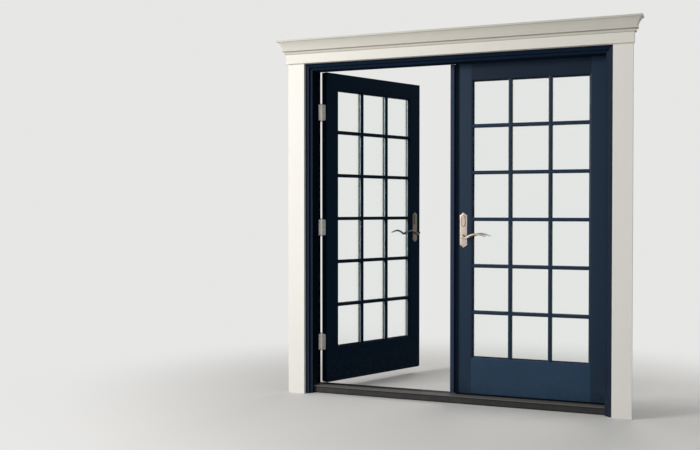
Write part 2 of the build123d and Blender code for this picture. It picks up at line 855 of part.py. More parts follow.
def lever(face_plane, way):
    """Neck and waved handle, which points towards way along the plane's x."""
    with BuildLine(face_plane.offset(neck_length - handle_set_back)) as wave:
        Spline(*[(way * share * handle_reach, rise) for share, rise in handle_wave])
    with BuildPart() as piece:
        with BuildSketch(face_plane.offset(-neck_root)):
            Circle(neck_radius)
        extrude(amount=neck_root + neck_length)
        fillet(piece.edges().sort_by(Axis(face_plane.origin, face_plane.z_dir))[-1], neck_rounding)
        with BuildSketch(face_plane.offset(-neck_root)):
            Rectangle(spindle_side, spindle_side)
        extrude(amount=spindle_seat, mode=Mode.SUBTRACT)
        for step in range(handle_steps + 1):
            place = step / handle_steps
            share = 1 - handle_taper * place**3
            with BuildSketch(Plane(origin=wave.line @ place, x_dir=face_plane.z_dir, z_dir=wave.line % place)):
                Ellipse(handle_depth / 2 * share, handle_height / 2 * share)
        loft(ruled=True)
    return piece.part


spindle_length = leaf_thickness + 2 * (spindle_seat - neck_root)
with BuildPart() as spindle:
    with BuildSketch(outer_face_plane.offset(spindle_seat - neck_root)):
        Rectangle(spindle_side, spindle_side)
    extrude(amount=-spindle_length)

with BuildPart() as key_cylinder:
    with BuildSketch(outer_face_plane.offset(plate_thickness)):
        with Locations((0, cylinder_height)):
            SlotOverall(cylinder_stem_height, cylinder_stem_width, rotation=90)
    extrude(amount=-(plate_thickness + (leaf_thickness - case_thickness) / 2))
    with BuildSketch(outer_face_plane.offset(plate_thickness)):
        with Locations((0, cylinder_height)):
            SlotOverall(cylinder_boss_height, cylinder_boss_width, rotation=90)
    extrude(amount=cylinder_boss_proud)
    boss_edges = key_cylinder.edges().group_by(Axis.Y)[0]
    fillet(boss_edges, 2)
    with BuildSketch(outer_face_plane.offset(plate_thickness + cylinder_boss_proud)):
        with Locations((0, cylinder_height + cylinder_boss_height / 5)):
            Circle(plug_radius)
    extrude(amount=plug_proud)
    with BuildSketch(outer_face_plane.offset(plate_thickness + cylinder_boss_proud + plug_proud)):
        with Locations((0, cylinder_height + cylinder_boss_height / 5)):
            Rectangle(keyway_width, keyway_height)
    extrude(amount=-cylinder_boss_proud, mode=Mode.SUBTRACT)

with BuildPart() as outer_plate:
    add(furniture_plate(outer_face_plane, False))
    add(key_cylinder.part, mode=Mode.SUBTRACT)

with BuildPart() as thumb_turn:
    turn_plane = inner_face_plane.offset(plate_thickness + seal_clearance)
    with BuildSketch(turn_plane):
        with Locations((0, cylinder_height)):
            Circle(turn_disc_radius)
    extrude(amount=turn_disc_height, taper=12)
    with BuildSketch(turn_plane):
        with Locations((0, cylinder_height)):
            SlotOverall(turn_grip_length, turn_grip_width, rotation=90)
    extrude(amount=turn_grip_height, taper=4)
    fillet(thumb_turn.edges().group_by(Axis.Y)[-1], 1.5)
    with BuildSketch(turn_plane):
        with Locations((0, cylinder_height)):
            Circle(turn_shaft_radius)
    shaft_length = (leaf_thickness - case_thickness) / 2 + turn_shaft_seat
    extrude(amount=-(plate_thickness + seal_clearance + shaft_length))

# Lock case with its faceplate on the left leaf, and case and strike plate on the right leaf


def case_block():
    with BuildPart() as block:
        with BuildSketch(edge_plane.offset(-faceplate_thickness)):
            with Locations((0, case_middle)):
                Rectangle(case_thickness, case_height)
        extrude(amount=-case_depth)
        with BuildSketch(outer_face_plane):
            Circle(follower_radius)
        extrude(amount=-leaf_thickness, mode=Mode.SUBTRACT)
    return block.part


def faceplate():
    with BuildPart() as plate:
        with BuildSketch(edge_plane.offset(-faceplate_thickness)):
            with Locations((0, case_middle)):
                Rectangle(faceplate_width, faceplate_height)
        extrude(amount=faceplate_thickness)
    return plate.part


def bolt_channel(height, thickness, width, depth):
    """A straight channel in from the free edge of a leaf."""
    with BuildPart() as channel:
        with BuildSketch(edge_plane):
            with Locations((0, height)):
                Rectangle(thickness, width)
        extrude(amount=-depth)
    return channel.part


latch_slot = (latch_thickness + 2 * bolt_clearance, latch_width + 2 * bolt_clearance)
deadbolt_slot = (deadbolt_thickness + 2 * bolt_clearance, deadbolt_width + 2 * bolt_clearance)

with BuildPart() as lock_case:
    add(case_block())
    add(faceplate())
    add(bolt_channel(latch_z, *latch_slot, latch_body + latch_throw + strike_clearance), mode=Mode.SUBTRACT)
    add(bolt_channel(cylinder_z, *deadbolt_slot, deadbolt_sink + deadbolt_body + strike_clearance), mode=Mode.SUBTRACT)
    with BuildSketch(inner_face_plane):
        with Locations((0, cylinder_height)):
            Circle(turn_shaft_radius + turning_clearance)
    extrude(amount=-(shaft_length + strike_clearance), mode=Mode.SUBTRACT)

with BuildPart() as latch_bolt:
    with BuildSketch(Plane(origin=(free_edge, leaf_middle, latch_z - latch_width / 2), z_dir=(0, 0, 1))):
        half = latch_thickness / 2
        with BuildLine():
            Polyline(
                (-latch_body, -half),
                (latch_throw, -half),
                (latch_throw, half - latch_thickness * 0.8),
                (1, half),
                (-latch_body, half),
                close=True,
            )
        make_face()
    extrude(amount=latch_width)

with BuildPart() as deadbolt:
    with BuildSketch(edge_plane.offset(-deadbolt_sink)):
        with Locations((0, cylinder_z)):
            Rectangle(deadbolt_thickness, deadbolt_width)
    extrude(amount=-deadbolt_body)
    chamfer(deadbolt.faces().sort_by(Axis.X)[-1].edges(), 1)

# Bolt holes in the right leaf's case and strike plate, drawn as their mirror images
latch_hole = (latch_thickness + 2 * strike_clearance, latch_width + 2 * strike_clearance)
deadbolt_hole = (deadbolt_thickness + 2 * strike_clearance, deadbolt_width + 2 * strike_clearance)
latch_pocket = bolt_channel(latch_z, *latch_hole, latch_throw + strike_depth)
deadbolt_pocket = bolt_channel(cylinder_z, *deadbolt_hole, deadbolt_throw + strike_depth)

with BuildPart() as strike_plate:
    add(faceplate())
    add(latch_pocket, mode=Mode.SUBTRACT)
    add(deadbolt_pocket, mode=Mode.SUBTRACT)

with BuildPart() as passive_case:
    add(case_block())
    add(latch_pocket, mode=Mode.SUBTRACT)
    add(deadbolt_pocket, mode=Mode.SUBTRACT)
    for end, way in ((case_top, -1), (case_bottom, 1)):
        with BuildSketch(upright_plane(-rod_x, leaf_middle, end)):
            Circle(rod_radius + rod_clearance)
        extrude(amount=way * (rod_seat + strike_clearance), mode=Mode.SUBTRACT)

with BuildPart() as top_bolt:
    with BuildSketch(upright_plane(rod_x, leaf_middle, case_top - rod_seat)):
        Circle(rod_radius)
    extrude(amount=leaf_top - rod_sink - (case_top - rod_seat))
    chamfer(top_bolt.edges().group_by(Axis.Z)[-1], 1)
keep(top_bolt.part, "right_top_bolt")

with BuildPart() as bottom_bolt:
    with BuildSketch(upright_plane(rod_x, leaf_middle, leaf_bottom + rod_sink)):
        Circle(rod_radius)
    extrude(amount=case_bottom + rod_seat - leaf_bottom - rod_sink)
    chamfer(bottom_bolt.edges().group_by(Axis.Z)[0], 1)
keep(bottom_bolt.part, "right_bottom_bolt")

with BuildPart() as rod_bores:
    with BuildSketch(upright_plane(rod_x, leaf_middle, case_top)):
        Circle(rod_radius + rod_clearance)
    extrude(amount=leaf_top - case_top)
    with BuildSketch(upright_plane(rod_x, leaf_middle, leaf_bottom)):
        Circle(rod_radius + rod_clearance)
    extrude(amount=case_bottom - leaf_bottom)

with BuildPart() as sweep_hole:
    with BuildSketch(upright_plane(rod_x, leaf_middle, threshold_top)):
        Circle(rod_socket_radius)
    extrude(amount=leaf_bottom_gap)

# Astragal: a nose that laps the left leaf, on a flange that is fixed to the right leaf
astragal_top = frame_height - stop_offset - astragal_top_gap
astragal_plane = upright_plane(0, leaf_face, leaf_bottom)

with BuildPart() as astragal:
    with BuildSketch(astragal_plane) as astragal_section:
        with BuildLine():
            Polyline(
                (-nose_reach, -nose_proud),
                (nose_width - nose_reach, -nose_proud),
                (nose_width - nose_reach, -flange_thickness),
                (nose_width - nose_reach + flange_width, -flange_thickness),
                (nose_width - nose_reach + flange_width, 0),
                (meeting_gap / 2, 0),
                (meeting_gap / 2, -nose_gap),
                (-nose_reach, -nose_gap),
                close=True,
            )
        make_face()
        fillet(astragal_section.vertices().group_by(Axis.Y)[0], 3)
    extrude(amount=astragal_top - leaf_bottom)
keep(astragal.part, "astragal")

with BuildPart() as astragal_seals:
    with BuildSketch(astragal_plane):
        flange_middle = nose_width - nose_reach + flange_width / 2
        with Locations((flange_middle, -flange_thickness)):
            Rectangle(gasket_width, gasket_thickness, align=(Align.CENTER, Align.MAX))
        with Locations((-nose_reach / 2, -nose_gap)):
            Rectangle(bulb_width, nose_gap - seal_clearance, align=(Align.CENTER, Align.MIN))
    extrude(amount=astragal_top - leaf_bottom)
keep(astragal_seals.part, "astragal_seals")

# The pieces that both leaves have
shared_pieces = {
    "hinge_stile": hinge_stile.part,
    "top_rail": top_rail.part,
    "bottom_rail": bottom_rail.part,
    "glass_panes": glass_panes.part,
    "glass_spacer": glass_spacer.part,
    "glazing_beads": glazing_beads.part,
    "outer_bars": outer_bars,
    "inner_bars": inner_bars,
    "hinge_halves": leaf_hinge_halves.part,
    "hinge_screws": leaf_hinge_screws.part,
    "outer_plate": outer_plate.part,
    "key_cylinder": key_cylinder.part,
    "outer_lever": lever(outer_face_plane, -1),
    "inner_lever": lever(inner_face_plane, 1),
    "spindle": spindle.part,
}
for name, piece in shared_pieces.items():
    hang_left(piece, name)
    hang_right(piece, name)

# The pieces that differ between the leaves
hang_left(lock_stile.part, "lock_stile")
hang_left(bottom_sweep.part, "bottom_sweep")
hang_left(furniture_plate(inner_face_plane, True), "inner_plate")
hang_left(lock_case.part, "lock_case")
hang_left(latch_bolt.part, "latch_bolt")
hang_left(deadbolt.part, "deadbolt")
hang_left(thumb_turn.part, "thumb_turn")

hang_right(lock_stile.part, "lock_stile", (rod_bores.part,))
hang_right(bottom_sweep.part, "bottom_sweep", (sweep_hole.part,))
hang_right(furniture_plate(inner_face_plane, False), "inner_plate")
hang_right(passive_case.part, "lock_case")
hang_right(strike_plate.part, "strike_plate")
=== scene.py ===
import json
import math

import bmesh
import bpy
from mathutils import Matrix, Vector


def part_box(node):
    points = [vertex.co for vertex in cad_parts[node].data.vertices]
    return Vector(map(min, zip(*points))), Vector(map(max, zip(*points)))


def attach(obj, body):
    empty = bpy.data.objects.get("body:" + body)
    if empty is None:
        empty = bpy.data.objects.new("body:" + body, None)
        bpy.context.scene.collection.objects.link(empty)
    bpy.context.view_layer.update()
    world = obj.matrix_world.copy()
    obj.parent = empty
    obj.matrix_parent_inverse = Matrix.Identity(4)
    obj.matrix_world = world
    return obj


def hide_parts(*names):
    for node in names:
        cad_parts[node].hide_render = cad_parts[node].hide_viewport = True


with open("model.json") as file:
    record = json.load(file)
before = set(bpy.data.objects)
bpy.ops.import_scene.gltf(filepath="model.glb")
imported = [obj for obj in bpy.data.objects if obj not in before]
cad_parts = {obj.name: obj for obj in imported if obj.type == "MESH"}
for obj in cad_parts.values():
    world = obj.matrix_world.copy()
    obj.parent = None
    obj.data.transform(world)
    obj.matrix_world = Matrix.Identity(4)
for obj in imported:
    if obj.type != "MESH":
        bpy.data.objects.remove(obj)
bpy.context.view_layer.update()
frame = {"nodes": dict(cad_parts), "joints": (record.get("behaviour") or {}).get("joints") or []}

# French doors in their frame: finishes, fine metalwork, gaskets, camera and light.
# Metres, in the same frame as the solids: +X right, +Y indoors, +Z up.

nodes = frame["nodes"]
joints = {joint["name"]: joint for joint in frame["joints"]}


def middle_of(node):
    """The middle of a node's box."""
    low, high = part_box(node)
    return (low + high) / 2


def size_of(node):
    """How far a node's box reaches along x, y and z."""
    low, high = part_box(node)
    return high - low


# Where the solids have the leaves, hinges and locks

SIGNS = {"left": -1.0, "right": 1.0}  # which way each side lies along x
right_pin = Vector(joints["right_leaf_hinge"]["pos_m"])
right_lever = Vector(joints["right_lever_turn"]["pos_m"])
LEAF_OPENING = math.radians(-joints["left_leaf_hinge"]["range_deg"][0])  # back from rest to closed
LEAF_THICKNESS = size_of("right_lock_stile").y
LEAF_MIDDLE = middle_of("right_lock_stile").y
MEETING_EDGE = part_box("right_lock_stile")[0].x  # from the middle of the doorway
HALF_HINGE_GAP = right_pin.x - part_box("right_hinge_stile")[1].x
CASE_MIDDLE = middle_of("right_strike_plate").z
CYLINDER_LIFT = middle_of("right_key_cylinder").z - right_lever.z
PLATE_LIFT = middle_of("right_outer_plate").z - right_lever.z
PLATE_WIDTH, PLATE_THICKNESS, PLATE_HEIGHT = size_of("right_outer_plate")

# Small helpers for materials

FLOAT, COLOUR, VECTOR = "NodeSocketFloat", "NodeSocketColor", "NodeSocketVector"
MIX_FIRST, MIX_SECOND, MIX_RESULT = 6, 7, 2  # the colour sockets of a Mix node


def feed(tree, source, target):
    """Joins a socket to an input, or fills the input in with a value. A colour is three numbers."""
    if isinstance(source, bpy.types.NodeSocket):
        tree.links.new(source, target)
    elif target.type == "RGBA":
        target.default_value = (*source, 1.0)
    else:
        target.default_value = source


def put(tree, kind, *sources, **values):
    """A new node: sources feed its first inputs in order, and values set inputs and settings by name."""
    node = tree.nodes.new("ShaderNode" + kind)
    for key, value in values.items():
        if key in node.inputs:
            feed(tree, value, node.inputs[key])
        else:
            setattr(node, key, value)
    for source, target in zip(sources, node.inputs):
        feed(tree, source, target)
    return node


def maths(tree, operation, *numbers):
    """The result of a sum. Each number is a socket or a plain value."""
    return put(tree, "Math", *numbers, operation=operation).outputs["Value"]


def vector_maths(tree, operation, *vectors, result="Vector"):
    """The result of a sum with vectors, each a socket or a plain value."""
    return put(tree, "VectorMath", *vectors, operation=operation).outputs[result]


def surface_place(tree):
    """Where a point of the surface is, in the object's own frame."""
    return put(tree, "TexCoord").outputs["Object"]


def noise(tree, place, scale, detail, roughness=0.5):
    """A cloudy pattern about 0.5."""
    return put(tree, "TexNoise", place, Scale=scale, Detail=detail, Roughness=roughness).outputs["Fac"]


def ramp(tree, value, zero_at, one_at, easing="LINEAR"):
    """A mask that runs from 0 where the value is zero_at to 1 where it is one_at."""
    return put(tree, "MapRange", value, zero_at, one_at, interpolation_type=easing).outputs["Result"]


def mix_colours(tree, mask, first, second):
    """The first colour where the mask is 0 and the second where it is 1."""
    node = put(tree, "Mix", mask, data_type="RGBA")
    feed(tree, first, node.inputs[MIX_FIRST])
    feed(tree, second, node.inputs[MIX_SECOND])
    return node.outputs[MIX_RESULT]


def new_material(name, **constants):
    """A new material, its node tree and its shader, with what is the same all over filled in.

    The constants have the names of the shader's inputs, with _ for each space.
    """
    material = bpy.data.materials.new(name)
    material.use_nodes = True
    tree = material.node_tree
    shader = tree.nodes["Principled BSDF"]
    for key, value in constants.items():
        feed(tree, value, shader.inputs[key.replace("_", " ")])
    return material, tree, shader


def new_group(name, inputs, outputs):
    """A node group with named, typed sockets, and the sockets to draw from and to feed inside it."""
    group = bpy.data.node_groups.new(name, "ShaderNodeTree")
    for label, kind, value in inputs:
        socket = group.interface.new_socket(label, in_out="INPUT", socket_type=kind)
        socket.default_value = value
    for label, kind in outputs:
        group.interface.new_socket(label, in_out="OUTPUT", socket_type=kind)
    given = group.nodes.new("NodeGroupInput").outputs
    wanted = group.nodes.new("NodeGroupOutput").inputs
    return group, given, wanted


def use_group(tree, group, values):
    """Places a node group in a material with its own values, and gives its outputs."""
    node = tree.nodes.new("ShaderNodeGroup")
    node.node_tree = group
    for label, value in values.items():
        feed(tree, value, node.inputs[label])
    return node.outputs


# Effects that several materials share

FILM_RELIEF = 0.35  # relief of the paint film, against that of the strokes


def uneven_gloss(group, given, pattern):
    """Roughness that rises and falls with a pattern about 0.5."""
    centred = maths(group, "SUBTRACT", pattern, 0.5)
    return maths(group, "MULTIPLY_ADD", centred, given["Roughness spread"], given["Roughness"])


def brush_paint_group():
    """Brushed paint: soft mottling, fine strokes along the wood, and a rise and fall of gloss."""
    group, given, wanted = new_group(
        "brushed paint",
        [
            ("Colour", COLOUR, (0.5, 0.5, 0.5, 1.0)),
            ("Worn colour", COLOUR, (0.6, 0.6, 0.6, 1.0)),
            ("Turn", VECTOR, (0.0, 0.0, 0.0)),
            ("Stroke scale", VECTOR, (60.0, 60.0, 2.0)),
            ("Mottle", FLOAT, 0.25),
            ("Roughness", FLOAT, 0.4),
            ("Roughness spread", FLOAT, 0.1),
        ],
        [("Colour", COLOUR), ("Roughness", FLOAT), ("Height", FLOAT)],
    )
    place = put(group, "Mapping", surface_place(group), Rotation=given["Turn"]).outputs["Vector"]
    stretched = vector_maths(group, "MULTIPLY", place, given["Stroke scale"])
    strokes = noise(group, stretched, scale=8.0, detail=4.0, roughness=0.6)
    clouds = noise(group, place, scale=3.5, detail=3.0, roughness=0.55)
    film = noise(group, place, scale=420.0, detail=2.0)
    thin = ramp(group, maths(group, "ADD", clouds, strokes), zero_at=0.75, one_at=1.35)
    mottle = maths(group, "MULTIPLY", thin, given["Mottle"])
    feed(group, mix_colours(group, mottle, given["Colour"], given["Worn colour"]), wanted["Colour"])
    feed(group, uneven_gloss(group, given, strokes), wanted["Roughness"])
    feed(group, maths(group, "MULTIPLY_ADD", film, FILM_RELIEF, strokes), wanted["Height"])
    return group


def foot_dust_group():
    """Dust and splash that gather low down: a speckled mask that fades out with height."""
    group, given, wanted = new_group(
        "dust near the foot",
        [("Low", FLOAT, 0.0), ("High", FLOAT, 0.3), ("Amount", FLOAT, 0.3)],
        [("Mask", FLOAT)],
    )
    place = surface_place(group)
    height = put(group, "SeparateXYZ", place).outputs["Z"]
    low_down = ramp(group, height, given["High"], given["Low"], easing="SMOOTHSTEP")
    cloud = noise(group, place, scale=38.0, detail=6.0, roughness=0.65)
    specks = ramp(group, cloud, zero_at=0.42, one_at=0.68)
    dusty = maths(group, "MULTIPLY", low_down, specks)
    feed(group, maths(group, "MULTIPLY", dusty, given["Amount"]), wanted["Mask"])
    return group


def brushed_metal_group():
    """Drawn metal: fine lines one way, faint smudges, and a little unevenness of colour."""
    group, given, wanted = new_group(
        "brushed metal",
        [
            ("Colour", COLOUR, (0.6, 0.6, 0.6, 1.0)),
            ("Shade", COLOUR, (0.4, 0.4, 0.4, 1.0)),
            ("Line scale", VECTOR, (1.0, 1.0, 60.0)),
            ("Smudge", FLOAT, 0.4),
            ("Roughness", FLOAT, 0.3),
            ("Roughness spread", FLOAT, 0.15),
        ],
        [("Colour", COLOUR), ("Roughness", FLOAT), ("Height", FLOAT)],
    )
    place = surface_place(group)
    stretched = vector_maths(group, "MULTIPLY", place, given["Line scale"])
    lines = noise(group, stretched, scale=30.0, detail=5.0, roughness=0.7)
    patches = ramp(group, noise(group, place, scale=26.0, detail=3.0), zero_at=0.4, one_at=0.7)
    smudge = maths(group, "MULTIPLY", patches, given["Smudge"])
    feed(group, mix_colours(group, smudge, given["Colour"], given["Shade"]), wanted["Colour"])
    feed(group, uneven_gloss(group, given, maths(group, "ADD", lines, smudge)), wanted["Roughness"])
    feed(group, lines, wanted["Height"])
    return group


brush_paint = brush_paint_group()
foot_dust = foot_dust_group()
brushed_metal = brushed_metal_group()

# Materials

BLOOM = 1.8  # how much paler rubber is where its surface has dulled


def add_bump(tree, shader, height, strength, depth):
    """Relief too fine for the mesh."""
    bump = put(tree, "Bump", Height=height, Strength=strength, Distance=depth)
    feed(tree, bump.outputs["Normal"], shader.inputs["Normal"])


def coat(tree, shader, finish, strength, depth):
    """Gives the shader a finish's colour, roughness and relief."""
    feed(tree, finish["Colour"], shader.inputs["Base Color"])
    feed(tree, finish["Roughness"], shader.inputs["Roughness"])
    add_bump(tree, shader, finish["Height"], strength, depth)


def paint_over(material, mask, colour):
    """Lays a colour over a material's own where the mask is 1."""
    tree = material.node_tree
    base = tree.nodes["Principled BSDF"].inputs["Base Color"]
    feed(tree, mix_colours(tree, mask, base.links[0].from_socket, colour), base)


def dust_over(material, low, high, amount, colour):
    """Dust on a material between two heights, thickest at the lower one."""
    dusty = use_group(material.node_tree, foot_dust, {"Low": low, "High": high, "Amount": amount})
    paint_over(material, dusty["Mask"], colour)


def painted_wood(name, colours, strokes, dust=None, turn=0.0, rough=0.4, mottle=0.3, bump=0.12, shine=0.2):
    """Paint on wood, with strokes along the piece and dust near the foot."""
    material, tree, shader = new_material(name, Specular_IOR_Level=shine)
    values = {
        "Colour": colours[0],
        "Worn colour": colours[1],
        "Stroke scale": strokes,
        "Turn": (0.0, 0.0, turn),
        "Mottle": mottle,
        "Roughness": rough,
        "Roughness spread": 0.18,
    }
    coat(tree, shader, use_group(tree, brush_paint, values), strength=bump, depth=0.0006)
    if dust:
        dust_over(material, **dust)
    return material


def metal(name, colours, lines, rough, metallic=1.0, shine=0.5):
    """Bare or plated metal with fine lines."""
    material, tree, shader = new_material(name, Metallic=metallic, Specular_IOR_Level=shine)
    values = {
        "Colour": colours[0],
        "Shade": colours[1],
        "Line scale": lines,
        "Smudge": 0.4,
        "Roughness": rough,
        "Roughness spread": 0.15,
    }
    coat(tree, shader, use_group(tree, brushed_metal, values), strength=0.05, depth=0.0002)
    return material


def rubber(name, colour):
    """Matt rubber with a fine grain, paler in patches."""
    material, tree, shader = new_material(name, Roughness=0.90, Specular_IOR_Level=0.02)
    place = surface_place(tree)
    paler = [channel * BLOOM for channel in colour]
    patches = noise(tree, place, scale=14.0, detail=4.0)
    feed(tree, mix_colours(tree, patches, colour, paler), shader.inputs["Base Color"])
    grain = noise(tree, place, scale=900.0, detail=2.0)
    add_bump(tree, shader, grain, strength=0.25, depth=0.0002)
    return material


def glass(name):
    """Clear float glass with a faint green cast and a barely wavy surface."""
    material, tree, shader = new_material(name, Roughness=0.0, IOR=1.5, Transmission_Weight=1.0)
    wave = noise(tree, surface_place(tree), scale=2.2, detail=1.0)
    tint = mix_colours(tree, wave, (0.985, 0.995, 0.990), (0.970, 0.988, 0.982))
    feed(tree, tint, shader.inputs["Base Color"])
    add_bump(tree, shader, wave, strength=0.15, depth=0.002)
    return material


def paint_light_on_front(material, colour):
    """Pales a paint on the faces that look straight out of doors: painted sunlight on the fronts."""
    tree = material.node_tree
    normal = put(tree, "TexCoord").outputs["Normal"]
    towards_indoors = put(tree, "SeparateXYZ", normal).outputs["Y"]
    paint_over(material, ramp(tree, towards_indoors, zero_at=-0.6, one_at=-0.95), colour)


def pale_front_edge(material, colour, edge, reach):
    """Brightens a metal from its front edge at y as far as reach."""
    tree = material.node_tree
    depth = put(tree, "SeparateXYZ", surface_place(tree)).outputs["Y"]
    mark_starts, mark_full = edge + reach * (1 + PALE_FADE), edge + reach * (1 - PALE_FADE)
    paint_over(material, ramp(tree, depth, mark_starts, mark_full, easing="SMOOTHSTEP"), colour)


def paint_barrel_highlights(material, colour):
    """Pales a metal round the hinge pins: a painted highlight on the knuckles. The plates keep their own
    grey.
    """
    tree = material.node_tree
    mirrored = vector_maths(tree, "ABSOLUTE", surface_place(tree))
    from_pin = vector_maths(tree, "SUBTRACT", mirrored, right_pin)
    level = vector_maths(tree, "MULTIPLY", from_pin, (1.0, 1.0, 0.0))
    distance = vector_maths(tree, "LENGTH", level, result="Value")
    mark_starts, mark_full = (KNUCKLE_RADIUS * share for share in BARREL_HIGHLIGHT_FADE)
    paint_over(material, ramp(tree, distance, mark_starts, mark_full, easing="SMOOTHSTEP"), colour)


# Finishes: each paint or metal is a colour and the one that it turns to in patches

UPRIGHT = (70.0, 70.0, 2.5)  # how close brush strokes lie along x, y and z
ACROSS = (2.5, 70.0, 70.0)
DRAWN_UPRIGHT = (60.0, 60.0, 1.0)  # and the fine lines of metal
DRAWN_ACROSS = (1.0, 60.0, 60.0)
BRUSHED_LEVEL = (6.0, 6.0, 50.0)

LEAF = ((0.0062, 0.0200, 0.0430), (0.0095, 0.0270, 0.0560))
# The left leaf's navy, darker: painted shade, where that leaf stands in shade.
LEAF_IN_PAINTED_SHADE = ((0.0022, 0.0105, 0.0235), (0.0036, 0.0150, 0.0310))
# The astragal's navy, paler: painted light on its nose.
COVER_STRIP_PAINTED_LIGHT = ((0.0125, 0.0250, 0.0560), (0.0180, 0.0330, 0.0700))
# The top rail's navy, darker: painted shade under the head.
TOP_RAIL_PAINTED_SHADE = ((0.0036, 0.0120, 0.0265), (0.0056, 0.0165, 0.0350))
# The bottom rail's navy, paler: painted light and painted reflection.
BOTTOM_RAIL_PAINTED_LIGHT = ((0.0120, 0.0345, 0.0700), (0.0210, 0.0520, 0.0980))
RIGHT_FRAME = ((0.0085, 0.0180, 0.0360), (0.0120, 0.0240, 0.0470))
# The head's navy, darker: painted shade.
HEAD_FRAME_PAINTED_SHADE = ((0.0068, 0.0140, 0.0285), (0.0100, 0.0195, 0.0390))
# The left jamb's navy, darker: painted shade.
LEFT_FRAME_PAINTED_SHADE = ((0.0024, 0.0052, 0.0110), (0.0034, 0.0070, 0.0145))
# Paler navy on the left jamb's outward faces: painted sunlight.
FRONT_PAINTED_LIGHT = (0.0260, 0.0400, 0.0640)
TRIM = ((0.74, 0.72, 0.67), (0.80, 0.78, 0.74))
# Frieze and crown, darker than the casings: painted shade from above.
FRIEZE_PAINTED_SHADE = ((0.70, 0.68, 0.62), (0.75, 0.73, 0.68))
CROWN_PAINTED_SHADE = ((0.54, 0.52, 0.465), (0.60, 0.58, 0.53))

SILL = ((0.040, 0.041, 0.042), (0.066, 0.063, 0.058))
TREAD = ((0.014, 0.014, 0.015), (0.024, 0.023, 0.021))
# One spacer bar in two copies: paler in the left leaf as painted light and painted reflection, darker in the
# right leaf as painted shade.
SPACER_PAINTED_LIGHT = ((0.27, 0.31, 0.31), (0.20, 0.24, 0.24))
SPACER_PAINTED_SHADE = ((0.030, 0.032, 0.034), (0.020, 0.022, 0.024))
NICKEL = ((0.53, 0.45, 0.385), (0.41, 0.345, 0.29))
# The left leaf's nickel, darker: painted shade.
NICKEL_IN_PAINTED_SHADE = ((0.160, 0.140, 0.117), (0.120, 0.104, 0.088))
# The left levers' nickel, darker still: painted shade.
LEVER_IN_PAINTED_SHADE = ((0.070, 0.061, 0.051), (0.052, 0.045, 0.038))
LEAF_HINGE = ((0.74, 0.74, 0.70), (0.64, 0.64, 0.60))
# The jamb halves' and pins' nickel, paler than the leaf halves: painted light, also laid on the knuckles.
JAMB_HINGE_PAINTED_LIGHT = ((0.93, 0.89, 0.84), (0.80, 0.76, 0.71))
# Near-black for the rings round the neck and the key cylinder: painted shadow.
PAINTED_SHADOW = ((0.030, 0.026, 0.022), (0.060, 0.050, 0.042))
STEEL = ((0.52, 0.53, 0.55), (0.36, 0.36, 0.35))

# A paler colour on the tread, from its front edge back.
PALE_TREAD_FRONT = (0.125, 0.120, 0.115)
PALE_SHARE = 0.5  # of the threshold's depth
PALE_FADE = 0.12  # of the pale depth, to each side of where it ends
KNUCKLE_RADIUS = 0.0065
BARREL_HIGHLIGHT_FADE = (1.12, 1.02)  # of the knuckle's radius: where the painted highlight starts, and where it is full

LEAF_DUST = dict(low=0.05, high=0.30, amount=0.10, colour=(0.10, 0.10, 0.10))
FRAME_DUST = dict(low=0.0, high=0.22, amount=0.20, colour=(0.12, 0.11, 0.10))
TRIM_DUST = dict(low=0.0, high=0.10, amount=0.10, colour=(0.60, 0.57, 0.52))

